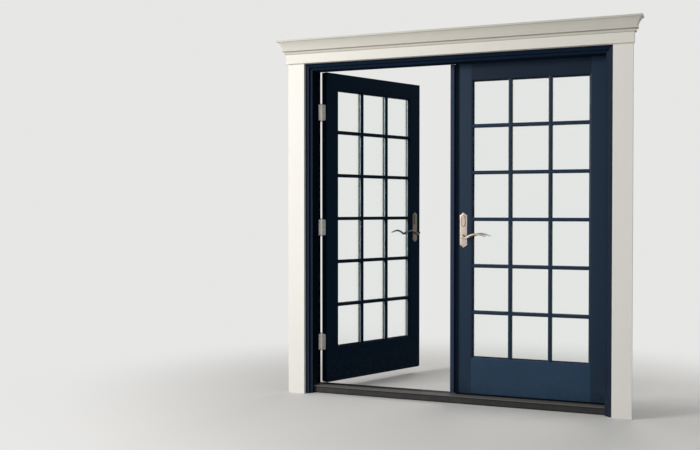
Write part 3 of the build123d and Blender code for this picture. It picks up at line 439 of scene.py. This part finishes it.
looks = {
    # The left leaf takes a darker copy of the navy: painted shade.
    "left leaf upright": painted_wood("navy with painted shade, upright", LEAF_IN_PAINTED_SHADE, UPRIGHT, LEAF_DUST, shine=0.02),
    "left leaf across in painted shade": painted_wood(
        "navy with painted shade, across", LEAF_IN_PAINTED_SHADE, ACROSS, LEAF_DUST, turn=-LEAF_OPENING, shine=0.02
    ),
    "right leaf upright": painted_wood("navy paint, upright", LEAF, UPRIGHT, LEAF_DUST),
    # Darker copy of the navy for the top rail: painted shade.
    "right top rail": painted_wood("navy paint with painted shade, top rail", TOP_RAIL_PAINTED_SHADE, ACROSS, shine=0.15),
    # Paler navy and stronger mottling on the bottom rail: painted light and painted reflection.
    "right bottom rail": painted_wood("navy paint with painted light, bottom rail", BOTTOM_RAIL_PAINTED_LIGHT, ACROSS, LEAF_DUST, mottle=0.6),
    # Paler copy of the navy for the astragal: painted light.
    "cover strip": painted_wood("navy with painted light on the astragal", COVER_STRIP_PAINTED_LIGHT, UPRIGHT, LEAF_DUST),
    # Darker copy of the frame navy for the left jamb: painted shade.
    "left frame": painted_wood("navy paint with painted shade, left jamb", LEFT_FRAME_PAINTED_SHADE, UPRIGHT, FRAME_DUST, shine=0.0),
    "right frame": painted_wood("dark navy paint, right jamb", RIGHT_FRAME, UPRIGHT, FRAME_DUST, shine=0.15),
    # Darker copy of the frame navy for the head: painted shade.
    "frame head": painted_wood("navy paint with painted shade, head", HEAD_FRAME_PAINTED_SHADE, ACROSS, FRAME_DUST, shine=0.0),
    "trim upright": painted_wood("off-white paint, upright", TRIM, UPRIGHT, TRIM_DUST, rough=0.5, bump=0.3),
    # Frieze and crown take darker copies of the trim: painted shade.
    "frieze": painted_wood("off-white paint with painted shade, frieze", FRIEZE_PAINTED_SHADE, ACROSS, rough=0.5, bump=0.3),
    "crown": painted_wood("off-white paint with painted shade, crown", CROWN_PAINTED_SHADE, ACROSS, rough=0.55, bump=0.3),
    "sill": metal("dark anodised sill", SILL, DRAWN_ACROSS, rough=0.42),
    "threshold": metal("dark anodised tread", TREAD, DRAWN_ACROSS, rough=0.5, metallic=0.1, shine=0.05),
    "rubber": rubber("weatherstrip rubber", (0.0030, 0.0034, 0.0050)),
    # The seal's own dark navy, made darker still as painted shade beside the strip's nose.
    "cover strip seal": rubber("dark navy seal with painted shade, cover strip", (0.0026, 0.0056, 0.0125)),
    "glass": glass("float glass"),
    # Spacer copies with painted light and painted shade.
    "left spacer": metal("spacer bar with painted light", SPACER_PAINTED_LIGHT, DRAWN_UPRIGHT, rough=0.5),
    "right spacer": metal("spacer bar with painted shade", SPACER_PAINTED_SHADE, DRAWN_UPRIGHT, rough=0.6),
    "nickel": metal("satin nickel", NICKEL, BRUSHED_LEVEL, rough=0.38, metallic=0.72),
    # Darker copy of the nickel for the left leaf: painted shade.
    "nickel in painted shade": metal(
        "satin nickel, left leaf", NICKEL_IN_PAINTED_SHADE, BRUSHED_LEVEL, rough=0.32, metallic=0.95
    ),
    # Darkest copy of the nickel for the left levers: painted shade.
    "lever in painted shade": metal(
        "satin nickel, left levers", LEVER_IN_PAINTED_SHADE, BRUSHED_LEVEL, rough=0.32, metallic=0.95
    ),
    # Near-black rings: painted shadow.
    "painted shadow": metal("near-black painted shadow", PAINTED_SHADOW, lines=(9.0, 9.0, 30.0), rough=0.6),
    "leaf hinge nickel": metal(
        "satin nickel, leaf hinges", LEAF_HINGE, BRUSHED_LEVEL, rough=0.40, metallic=0.45
    ),
    # Paler nickel on the jamb hinges: painted light.
    "jamb hinge nickel": metal(
        "nickel with painted light, jamb hinges", JAMB_HINGE_PAINTED_LIGHT, BRUSHED_LEVEL, rough=0.40, metallic=0.45
    ),
    "steel": metal("zinc plated steel", STEEL, lines=(8.0, 8.0, 40.0), rough=0.40),
}


def look_of(name):
    """Which finish a node of the frame takes."""
    side = name.split("_")[0]
    if name == "head_jamb":
        return "frame head"
    if name.endswith("jamb"):
        return side + " frame"
    if name.endswith("casing"):
        return "trim upright"
    if name == "frieze_board":
        return "frieze"
    if name in ("bed_mould", "crown_moulding"):
        return "crown"
    if name in ("sill", "threshold"):
        return name
    if name == "astragal":
        return "cover strip"
    if name == "astragal_seals":
        return "cover strip seal"
    if name.endswith(("weatherstrips", "sweep")):
        return "rubber"
    if name.endswith("glass_panes"):
        return "glass"
    if name.endswith("glass_spacer"):
        return side + " spacer"
    if name.endswith(("stile", "bars", "beads")):
        return side + " leaf upright"
    if name.endswith("rail"):
        return "left leaf across in painted shade" if side == "left" else name.replace("_", " ")
    if name in ("left_hinge_halves", "right_hinge_halves"):
        return "leaf hinge nickel"
    if name in ("frame_hinge_halves", "hinge_pins"):
        return "jamb hinge nickel"
    if name.endswith(("lock_case", "spindle")) or name in ("right_top_bolt", "right_bottom_bolt"):
        return "steel"
    # The left thumb turn takes the nickel with painted shade, like its plate.
    if name == "left_thumb_turn":
        return "nickel in painted shade"
    return "nickel"


tread_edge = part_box("threshold")[0].y
# Painted sunlight on the left jamb's outward faces.
paint_light_on_front(looks["left frame"], FRONT_PAINTED_LIGHT)
# The tread pales towards its front edge.
pale_front_edge(looks["threshold"], PALE_TREAD_FRONT, tread_edge, size_of("threshold").y * PALE_SHARE)
# Painted highlights on the hinge knuckles.
paint_barrel_highlights(looks["leaf hinge nickel"], JAMB_HINGE_PAINTED_LIGHT[0])

for name, piece in nodes.items():
    piece.data.materials.clear()
    piece.data.materials.append(looks[look_of(name)])
    if name.endswith("glass_panes"):
        piece.visible_shadow = False  # the lamps shine through clear panes

# Soft arrises on the sawn, planed, drawn and cast solids

ARRIS_WIDTHS = {
    0.0012: ("left_casing", "right_casing", "frieze_board", "bed_mould", "crown_moulding"),
    0.0008: ("sill", "threshold", "astragal", "left_thumb_turn"),
    0.0004: ("left_top_rail", "left_bottom_rail", "right_top_rail", "right_bottom_rail"),
}
ARRIS_ANGLE = math.radians(35.0)
WELD_REACH = 0.00001


def soften_arrises(name, width):
    """Rounds the sharp edges of a piece, as paint, sandpaper and wear leave them."""
    piece = nodes[name]
    weld = piece.modifiers.new("one skin", "WELD")
    weld.merge_threshold = WELD_REACH
    arris = piece.modifiers.new("soft arris", "BEVEL")
    arris.width = width
    arris.segments = 2
    arris.limit_method = "ANGLE"
    arris.angle_limit = ARRIS_ANGLE
    even = piece.modifiers.new("even shading", "WEIGHTED_NORMAL")
    even.keep_sharp = False


for width, names in ARRIS_WIDTHS.items():
    for name in names:
        soften_arrises(name, width)

# Rings of points, the skins over them, and turned forms


def ring(bm, places):
    """New vertices at those places."""
    return [bm.verts.new(place) for place in places]


def bridge(bm, lower, upper):
    """Quads between two closed rings of equal length."""
    for i in range(len(lower)):
        j = (i + 1) % len(lower)
        bm.faces.new((lower[i], lower[j], upper[j], upper[i]))


def stack(bm, rings, close_start=False, close_end=True):
    """A skin over a list of rings of points."""
    made = [ring(bm, places) for places in rings]
    for lower, upper in zip(made, made[1:]):
        bridge(bm, lower, upper)
    if close_start:
        bm.faces.new(list(reversed(made[0])))
    if close_end:
        bm.faces.new(made[-1])
    return made


def circle(count):
    """Points spaced evenly round a circle of radius 1."""
    angles = [2 * math.pi * i / count for i in range(count)]
    return [(math.cos(angle), math.sin(angle)) for angle in angles]


def turned(bm, profile, centre=(0.0, 0.0), count=40, **ends):
    """A turned form about z through centre. The profile is (height, radius)."""
    rings = []
    for height, radius in profile:
        rings.append([(centre[0] + radius * x, centre[1] + radius * y, height) for x, y in circle(count)])
    return stack(bm, rings, **ends)


def pierced(bm, outer, hole, depth, bottom_share):
    """Fills between a ring of vertices and a hole's outline, and sinks the hole."""
    rim = ring(bm, hole)
    centre = sum((v.co for v in rim), Vector()) / len(rim)
    edges = [bm.edges.get((a, b)) or bm.edges.new((a, b)) for a, b in zip(outer, outer[1:] + outer[:1])]
    edges += [bm.edges.new((a, b)) for a, b in zip(rim, rim[1:] + rim[:1])]
    bmesh.ops.triangle_fill(bm, edges=edges, use_beauty=True)
    floor = ring(bm, [centre + (v.co - centre) * bottom_share - Vector((0, 0, depth)) for v in rim])
    bridge(bm, rim, floor)
    bm.faces.new(floor)


def relief_rings(outline, relief, lift):
    """Rings that step in from an outline about its own middle: relief is (inset, height)."""
    half_width = max(p.x for p in outline)
    half_height = max(p.y for p in outline)
    rings = []
    for inset, height in relief:
        across, along = 1 - inset / half_width, 1 - inset / half_height
        rings.append([(p.x * across, p.y * along + lift, height) for p in outline])
    return rings


CRISP_ANGLE = 0.6  # edges that turn by more than this many radians stay crisp
ALL_SMOOTH = 3.2


def finish_mesh(
    bm, name, place, finish, body, stands_for=(), smooth_angle=CRISP_ANGLE
):
    """Turns a bmesh drawn on a face into a piece that rides on its body."""
    bmesh.ops.recalc_face_normals(bm, faces=bm.faces)
    bm.transform(place)
    if place.determinant() < 0:
        bmesh.ops.reverse_faces(bm, faces=bm.faces)
    mesh = bpy.data.meshes.new(name)
    bm.to_mesh(mesh)
    bm.free()
    mesh.shade_smooth()
    mesh.set_sharp_from_angle(angle=smooth_angle)
    mesh.materials.append(looks[finish])
    piece = bpy.data.objects.new(name, mesh)
    bpy.context.scene.collection.objects.link(piece)
    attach(piece, body)
    if stands_for:
        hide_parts(*stands_for)
    return piece


# Where the pieces go on the leaves


def facing(origin, normal, spin=0.0):
    """A matrix at origin whose z looks along normal, spun about it."""
    turn = Vector(normal).to_track_quat("Z", "Y").to_matrix().to_4x4()
    return Matrix.Translation(origin) @ turn @ Matrix.Rotation(spin, 4, "Z")


def opened(side):
    """The turn that takes a leaf from closed to where it stands at rest."""
    pin = Vector(joints[side + "_leaf_hinge"]["pos_m"])
    pin.z = 0.0
    turn = Matrix.Rotation(LEAF_OPENING if side == "left" else 0.0, 4, "Z")
    return Matrix.Translation(pin) @ turn @ Matrix.Translation(-pin)


def furniture_place(side, outdoors):
    """A face of the leaf with its origin at the lever's axis, and which way the handle points.

    x runs across the face, y up and z off it.
    """
    lever = joints[side + "_lever_turn"]
    hinge = joints[side + "_leaf_hinge"]
    outward = Vector(lever["axis"]).normalized()
    face = outward if outdoors else -outward
    across = Vector((0.0, 0.0, 1.0)).cross(face)
    towards_hinge = Vector(hinge["pos_m"]) - Vector(lever["pos_m"])
    place = Matrix((across, (0.0, 0.0, 1.0), face)).transposed().to_4x4()
    place.translation = Vector(lever["pos_m"]) + face * LEAF_THICKNESS / 2
    return place, 1 if across.dot(towards_hinge) > 0 else -1


def nickel_of(side):
    """The finish of a leaf's plates and key cylinder: on the left leaf, a darker copy of the nickel as
    painted shade.
    """
    return "nickel in painted shade" if side == "left" else "nickel"


# Cross-head screws

SCREW = [  # height from the face of the head, radius
    (-0.0220, 0.000456),
    (-0.0176, 0.00228),
    (-0.00219, 0.00228),
    (-0.0003, 0.00418),
    (0.0, 0.003971),
]
RECESS_ARM = 0.0021
RECESS_HALF_WIDTH = 0.00055
RECESS_DEPTH = 0.0015
ARM_FLANK = 0.9  # share of the arm up to where its end is bevelled
ARM_TIP = 0.6  # width of the end past the bevel, as a share of the arm's
SPINS = {-1: 0.7, 0: 0.3, 1: 1.1}  # how far the lower, middle and upper screw are turned


def cross_outline():
    """The outline of the recess: four arms with bevelled ends."""
    half, arm = RECESS_HALF_WIDTH, RECESS_ARM
    flank, tip = arm * ARM_FLANK, half * ARM_TIP
    quarter = [(half, half), (half, flank), (tip, arm), (-tip, arm), (-half, flank)]
    cross = []
    for k in range(4):
        c, s = math.cos(math.pi / 2 * k), math.sin(math.pi / 2 * k)
        cross += [(x * c - y * s, x * s + y * c, 0.0) for x, y in quarter]
    return cross


def add_screw(bm, place):
    """Countersunk screw with a cross recess: its head lies in place's xy plane, facing z."""
    screw = bmesh.new()
    rings = turned(screw, SCREW, count=24, close_start=True, close_end=False)
    pierced(screw, rings[-1], cross_outline(), RECESS_DEPTH, bottom_share=0.4)
    bmesh.ops.recalc_face_normals(screw, faces=screw.faces)
    screw.transform(place)
    copy = bpy.data.meshes.new("screw")
    screw.to_mesh(copy)
    screw.free()
    bm.from_mesh(copy)
    bpy.data.meshes.remove(copy)


# Long plates

PLATE_SHOULDER = 0.019  # how far each end rises to its point
HOLLOW_ACROSS = 0.90  # where the shoulder's hollow ends, as a share of half the width
HOLLOW_RISE = 0.20  # and as a share of the shoulder
STRAIGHT_STEPS = 6  # points up each half of a straight side
PLATE_RELIEF = [  # inset from the outline, height off the leaf
    (0.0, 0.0),
    (0.0, 0.0018),
    (0.0006, 0.0025),
    (0.0018, 0.0028),
    (0.0028, 0.0022),
    (0.0034, 0.0022),
    (0.0042, 0.0032),
    (0.0058, 0.0038),
    (0.0078, 0.0040),
]
NECK_COLLAR = [  # height off the leaf, radius
    (0.0036, 0.0126),
    (0.0050, 0.0124),
    (0.0057, 0.0114),
    (0.0052, 0.0103),
    (0.0048, 0.0094),
]
# A dark ring at the foot of the neck, as painted shadow: height off the leaf, radius
NECK_SHADOW_RING = [(0.0044, 0.0118), (0.0050, 0.0114), (0.0052, 0.0092), (0.0049, 0.0086)]
PLATE_SCREW_REACH = 0.090
PLATE_SCREW_PROUD = 0.0003


def tangent_arc(start, heading, end, steps):
    """Points along the arc that leaves start along heading and ends at end, with its last heading."""
    chord = end - start
    turn = math.atan2(chord.y, chord.x) - heading
    turn = 2 * math.atan2(math.sin(turn), math.cos(turn))
    radius = chord.length / (2 * math.sin(turn / 2))
    centre = start + radius * Vector((-math.sin(heading), math.cos(heading)))
    points = []
    for i in range(1, steps + 1):
        angle = heading + turn * i / steps
        points.append(centre + radius * Vector((math.sin(angle), -math.cos(angle))))
    return points, heading + turn


def plate_outline(steps=8):
    """Outline of the long plate, whose ends rise over a small shoulder in a shallow hollow to a point."""
    half, tip = PLATE_WIDTH / 2, PLATE_HEIGHT / 2
    straight = tip - PLATE_SHOULDER
    corner = Vector((half, straight))
    turn = Vector((half * HOLLOW_ACROSS, straight + PLATE_SHOULDER * HOLLOW_RISE))
    shoulder, heading = tangent_arc(corner, math.pi / 2, turn, steps)
    flank, _ = tangent_arc(turn, heading, Vector((0.0, tip)), steps)
    side = [Vector((half, straight * k / STRAIGHT_STEPS)) for k in range(1, STRAIGHT_STEPS)]
    quarter = side + [corner] + shoulder + flank
    upper = quarter + [Vector((-p.x, p.y)) for p in reversed(quarter[:-1])]
    return upper + [Vector((-p.x, -p.y)) for p in upper]


def build_plate(side, face, place):
    """Long plate with its rim, collar and a dark ring of painted shadow round the neck. The inner one shows
    two screws.
    """
    body = side + "_leaf"
    plate = bmesh.new()
    stack(plate, relief_rings(plate_outline(), PLATE_RELIEF, PLATE_LIFT))
    turned(plate, NECK_COLLAR, close_end=False)
    stands_for = [f"{side}_{face}_plate"]
    finish_mesh(plate, f"{side}_{face}_moulded_plate", place, nickel_of(side), body, stands_for)
    # The dark ring round the neck is painted shadow.
    recess = bmesh.new()
    turned(recess, NECK_SHADOW_RING, close_end=False)
    finish_mesh(recess, f"{side}_{face}_neck_shadow_ring", place, "painted shadow", body)
    if face == "inner":
        screws = bmesh.new()
        for step in (-1, 1):
            rise = PLATE_LIFT + step * PLATE_SCREW_REACH
            head = Vector((0.0, rise, PLATE_THICKNESS + PLATE_SCREW_PROUD))
            add_screw(screws, facing(head, (0.0, 0.0, 1.0), SPINS[step]))
        finish_mesh(screws, f"{side}_inner_plate_screws", place, nickel_of(side), body)


# Levers

NECK = [  # height off the leaf, radius
    (-0.0030, 0.0088),
    (0.0060, 0.0088),
    (0.0075, 0.0084),
    (0.0090, 0.0074),
    (0.0120, 0.0070),
    (0.0300, 0.0072),
    (0.0380, 0.0080),
    (0.0440, 0.0086),
    (0.0475, 0.0070),
    (0.0485, 0.0040),
]
HANDLE_REACH = 0.150
HANDLE_OFF_LEAF = 0.0445
HANDLE_WAVE = [  # share of the reach, rise over the axis
    (0.0, 0.0),
    (0.15, -0.009),
    (0.38, 0.009),
    (0.64, 0.015),
    (1.0, 0.002),
]
HANDLE_HEIGHT = 0.015
HANDLE_DEPTH = 0.012
HANDLE_TAPER = 0.55  # how much thinner the handle is at its end
TIP_START = 0.97  # share of the handle where its end rounds off
TIP_LEAST = 0.2  # the least size that it rounds down to, against the handle's
CAST_VOXEL = 0.0008


def smooth_path(points, steps):
    """A smooth curve through the points, as places with that many steps from each to the next."""
    ends = [2 * points[0] - points[1]] + points + [2 * points[-1] - points[-2]]
    path = []
    for a, b, c, d in zip(ends, ends[1:], ends[2:], ends[3:]):
        for i in range(steps):
            t = i / steps
            bend = 2 * a - 5 * b + 4 * c - d
            swing = 3 * b - a - 3 * c + d
            path.append(0.5 * (2 * b + (c - a) * t + bend * t**2 + swing * t**3))
    path.append(points[-1])
    return path


def oval_ring(centre, up, half_up, half_out, count=28):
    """An oval of points about centre, with up along the handle's edge and its other axis off the leaf."""
    return [centre + up * half_up * x + Vector((0, 0, half_out * y)) for x, y in circle(count)]


def build_lever(side, face, place, way):
    """Neck and waved handle, fused and softened as one casting."""
    bm = bmesh.new()
    turned(bm, NECK, close_start=True)
    spine = [Vector((way * share * HANDLE_REACH, rise, HANDLE_OFF_LEAF)) for share, rise in HANDLE_WAVE]
    path = smooth_path(spine, steps=12)
    last = len(path) - 1
    rings = []
    for i, centre in enumerate(path):
        along = (path[min(i + 1, last)] - path[max(i - 1, 0)]).normalized()
        up = Vector((0, 0, 1)).cross(along).normalized()
        share = i / last
        past_tip = max(0.0, (share - TIP_START) / (1 - TIP_START))
        size = (1 - HANDLE_TAPER * share**3) * math.sqrt(max(TIP_LEAST**2, 1 - past_tip**2))
        rings.append(oval_ring(centre, up, HANDLE_HEIGHT / 2 * size, HANDLE_DEPTH / 2 * size))
    stack(bm, rings, close_start=True)
    # The left levers take the nickel with the most painted shade.
    finish = "lever in painted shade" if side == "left" else "nickel"
    stands_for = [f"{side}_{face}_lever"]
    name = f"{side}_{face}_cast_lever"
    piece = finish_mesh(bm, name, place, finish, side + "_levers", stands_for, smooth_angle=ALL_SMOOTH)
    fused = piece.modifiers.new("fused casting", "REMESH")
    fused.mode = "VOXEL"
    fused.voxel_size = CAST_VOXEL
    fused.use_smooth_shade = True
    soft = piece.modifiers.new("softened", "SMOOTH")
    soft.factor = 0.5
    soft.iterations = 6


# Key cylinders

CYLINDER_WIDTH = 0.021
CYLINDER_HEIGHT = 0.064
CYLINDER_RELIEF = [  # inset from the outline, height off the leaf
    (0.0, 0.0030),
    (0.0, 0.0070),
    (0.0007, 0.0083),
    (0.0020, 0.0090),
    (0.0032, 0.0088),
    (0.0038, 0.0080),
    (0.0046, 0.0080),
]
# A dark ring round the boss's foot and up its wall, as painted shadow:
CYLINDER_SHADOW_RING = [  # the same, and it reaches out past the outline
    (-0.0022, 0.0036),
    (-0.0022, 0.0042),
    (-0.0017, 0.0045),
    (-0.0003, 0.0045),
    (-0.0003, 0.0072),
    (0.0002, 0.0074),
]
PLUG_RISE = 0.0128
PLUG = [(0.0078, 0.0066), (0.0094, 0.0066), (0.0100, 0.0061)]  # height off the leaf, radius
KEYWAY_WIDTH = 0.0018
KEYWAY_HEIGHT = 0.0078
KEYWAY_DEPTH = 0.004
KEYWAY_CORNERS = [(-1, -1), (1, -1), (1, 0.1), (1.9, 0.25), (1.9, 1), (-1, 1)]  # in half sizes


def oval_outline(width, height, steps=14):
    """A stadium that stands upright."""
    radius = width / 2
    straight = height / 2 - radius
    points = []
    for lift, start in ((straight, 0.0), (-straight, math.pi)):
        for i in range(steps + 1):
            angle = start + math.pi * i / steps
            points.append(Vector((radius * math.cos(angle), lift + radius * math.sin(angle))))
    return points


def build_cylinder(side, place):
    """Oval boss with its round plug and keyway, and a dark ring of painted shadow round its foot."""
    outline = oval_outline(CYLINDER_WIDTH, CYLINDER_HEIGHT)
    boss = bmesh.new()
    stack(boss, relief_rings(outline, CYLINDER_RELIEF, CYLINDER_LIFT))
    plug_height = CYLINDER_LIFT + PLUG_RISE
    plug = turned(boss, PLUG, (0.0, plug_height), close_end=False)
    keyway = []
    for across, up in KEYWAY_CORNERS:
        keyway.append((across * KEYWAY_WIDTH / 2, plug_height + up * KEYWAY_HEIGHT / 2, PLUG[-1][0]))
    pierced(boss, plug[-1], keyway, KEYWAY_DEPTH, bottom_share=1.0)
    body = side + "_leaf"
    stands_for = [f"{side}_key_cylinder"]
    finish_mesh(boss, f"{side}_oval_cylinder", place, nickel_of(side), body, stands_for)
    # The dark ring round the boss is painted shadow.
    gasket = bmesh.new()
    stack(gasket, relief_rings(outline, CYLINDER_SHADOW_RING, CYLINDER_LIFT), close_end=False)
    finish_mesh(gasket, f"{side}_cylinder_shadow_ring", place, "painted shadow", body)


# Screws of the hinges, faceplate and strike plate

HINGE_HEIGHT = 0.1016
HINGE_SCREW_PITCH = 0.032
HINGE_SCREW_BACK = 0.024  # from the pin's axis out to the screws
CASE_SCREW_REACH = 0.128
CASE_SCREW_PROUD = 0.0002
hinges_low, hinges_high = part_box("right_hinge_halves")
HINGE_MIDDLES = (hinges_low.z + HINGE_HEIGHT / 2, right_pin.z, hinges_high.z - HINGE_HEIGHT / 2)


def build_hinge_screws():
    """The screws of both halves of all six hinges, from each pin's place."""
    jamb = bmesh.new()
    for side, sign in SIGNS.items():
        leaf = bmesh.new()
        pin = Vector(joints[side + "_leaf_hinge"]["pos_m"])
        inwards = Vector((-sign, 0.0, 0.0))
        half_gap = inwards * HALF_HINGE_GAP
        for middle in HINGE_MIDDLES:
            for step in (-1, 0, 1):
                place = Vector((pin.x, pin.y - HINGE_SCREW_BACK, middle + step * HINGE_SCREW_PITCH))
                add_screw(jamb, facing(place - half_gap, inwards, SPINS[step]))
                add_screw(leaf, opened(side) @ facing(place + half_gap, -inwards, SPINS[step]))
        name = f"{side}_leaf_hinge_crosshead_screws"
        finish_mesh(leaf, name, Matrix(), "steel", side + "_leaf", [f"{side}_hinge_screws"])
    finish_mesh(jamb, "jamb_hinge_crosshead_screws", Matrix(), "steel", "frame", ["frame_hinge_screws"])


def build_edge_screws(side, name):
    """The two screws of the faceplate or strike plate in the leaf's meeting edge."""
    bm = bmesh.new()
    sign = SIGNS[side]
    outwards = Vector((-sign, 0.0, 0.0))
    for step in (-1, 1):
        place = Vector((sign * MEETING_EDGE, LEAF_MIDDLE, CASE_MIDDLE + step * CASE_SCREW_REACH))
        add_screw(bm, opened(side) @ facing(place + outwards * CASE_SCREW_PROUD, outwards, SPINS[step]))
    finish_mesh(bm, name, Matrix(), "nickel", side + "_leaf")


# Glazing gaskets

GLASS_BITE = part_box("right_lock_stile")[1].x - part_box("right_glass_panes")[0].x  # under the wood
GASKET_SECTION = [  # in from the wood, height off the glass
    (-0.0004, 0.0),
    (-0.0004, 0.0024),
    (0.0012, 0.0028),
    (0.0030, 0.0020),
    (0.0036, 0.0),
]


def build_glazing_gasket(side, face):
    """Black rubber all round the glass, in the corner between the wood and the glass."""
    low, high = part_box("right_glass_panes")
    bm = bmesh.new()
    rings = []
    for inset, height in GASKET_SECTION:
        y = low.y - height if face == "outer" else high.y + height
        margin = GLASS_BITE + inset
        left, right, foot, head = low.x + margin, high.x - margin, low.z + margin, high.z - margin
        rings.append([(left, y, foot), (right, y, foot), (right, y, head), (left, y, head)])
    made = stack(bm, rings, close_end=False)
    bridge(bm, made[-1], made[0])
    mirror = Matrix.Scale(SIGNS[side], 4, (1.0, 0.0, 0.0))
    name = f"{side}_{face}_glazing_gasket"
    finish_mesh(bm, name, opened(side) @ mirror, "rubber", side + "_leaf")


build_hinge_screws()
build_edge_screws("left", "left_faceplate_screws")
build_edge_screws("right", "right_strike_plate_screws")
for side in SIGNS:
    for face in ("outer", "inner"):
        place, way = furniture_place(side, face == "outer")
        build_plate(side, face, place)
        build_glazing_gasket(side, face)
        build_lever(side, face, place, way)
        if face == "outer":
            build_cylinder(side, place)

# Camera, as the photograph was taken

CAMERA_PLACE = (1.4954, -5.4549, 1.1660)
CAMERA_YAW = 21.68
CAMERA_PITCH = -0.92
CAMERA_LENS = 47.67
CAMERA_SENSOR = 36.0

camera_data = bpy.data.cameras.new("camera")
camera_data.lens = CAMERA_LENS
camera_data.sensor_width = CAMERA_SENSOR
camera = bpy.data.objects.new("camera", camera_data)
camera.location = CAMERA_PLACE
camera.rotation_euler = (math.radians(90.0 + CAMERA_PITCH), 0.0, math.radians(CAMERA_YAW))
bpy.context.scene.collection.objects.link(camera)
bpy.context.scene.camera = camera

# Floor and surroundings

BACKDROP = (0.80, 0.80, 0.79)
FLOOR_COLOUR = (0.70, 0.69, 0.67)
FLOOR_REACH = 40.0
FLOOR_DROP = 0.0005  # keeps the floor clear of the sill's underside
FLOOR_FADE = (0.9, 3.2)  # how far out the floor starts and ends its turn into the backdrop
SKY_COLOUR = (0.93, 0.96, 1.0)
SKY_STRENGTH = 0.28


def seen_ray(tree):
    """1 for rays that show the surroundings: camera, mirror and see-through rays."""
    path = put(tree, "LightPath").outputs
    direct = maths(tree, "MAXIMUM", path["Is Camera Ray"], path["Is Glossy Ray"])
    return maths(tree, "MAXIMUM", direct, path["Is Transmission Ray"])


def mix_shaders(tree, mask, first, second):
    """The first shader where the mask is 0 and the second where it is 1."""
    return put(tree, "MixShader", mask, first.outputs[0], second.outputs[0]).outputs[0]


def build_floor():
    """A pale floor that takes the shadow and turns into the backdrop further out."""
    material, tree, shader = new_material(
        "pale floor", Base_Color=FLOOR_COLOUR, Roughness=0.75, Specular_IOR_Level=0.2
    )
    distance = vector_maths(tree, "LENGTH", surface_place(tree), result="Value")
    faded = ramp(tree, distance, *FLOOR_FADE, easing="SMOOTHERSTEP")
    far = maths(tree, "MULTIPLY", faded, seen_ray(tree))
    glow = put(tree, "Emission", Color=BACKDROP, Strength=1.0)
    feed(tree, mix_shaders(tree, far, shader, glow), tree.nodes["Material Output"].inputs["Surface"])
    corners = [(FLOOR_REACH * x, FLOOR_REACH * y, 0.0) for x, y in ((-1, -1), (1, -1), (1, 1), (-1, 1))]
    mesh = bpy.data.meshes.new("floor")
    mesh.from_pydata(corners, [], [(0, 1, 2, 3)])
    mesh.materials.append(material)
    floor = bpy.data.objects.new("floor", mesh)
    floor.location.z = -FLOOR_DROP
    bpy.context.scene.collection.objects.link(floor)


def build_world():
    """Soft light from all round, and the backdrop where the surroundings are seen."""
    world = bpy.data.worlds.new("soft light")
    world.use_nodes = True
    tree = world.node_tree
    tree.nodes.clear()
    light = put(tree, "Background", Color=SKY_COLOUR, Strength=SKY_STRENGTH)
    backdrop = put(tree, "Background", Color=BACKDROP, Strength=1.0)
    put(tree, "OutputWorld", mix_shaders(tree, seen_ray(tree), light, backdrop))
    bpy.context.scene.world = world


def build_lamp(name, place, target, size, power, colour):
    """A rectangular lamp that looks at target and isn't seen itself, not even through the glass."""
    data = bpy.data.lights.new(name, "AREA")
    data.shape = "RECTANGLE"
    data.size, data.size_y = size
    data.energy = power
    data.color = colour
    lamp = bpy.data.objects.new(name, data)
    lamp.location = place
    lamp.rotation_euler = (Vector(target) - Vector(place)).to_track_quat("-Z", "Y").to_euler()
    lamp.visible_camera = False
    lamp.visible_transmission = False
    bpy.context.scene.collection.objects.link(lamp)


LAMPS = {  # place, target, size, power, colour
    "sky from the front left": ((-4.1, -4.2, 2.7), (0.0, 0.0, 0.9), (2.2, 1.8), 300.0, (1.0, 0.99, 0.97)),
    "fill from the right": ((4.2, -3.6, 2.0), (0.2, 0.0, 1.0), (2.4, 2.4), 20.0, (0.95, 0.97, 1.0)),
    "light indoors": ((0.5, 3.6, 3.2), (-0.3, 0.3, 1.0), (2.6, 2.2), 60.0, (1.0, 0.97, 0.92)),
}

build_floor()
build_world()
for name, settings in LAMPS.items():
    build_lamp(name, *settings)

bpy.context.scene.view_settings.view_transform = "Standard"
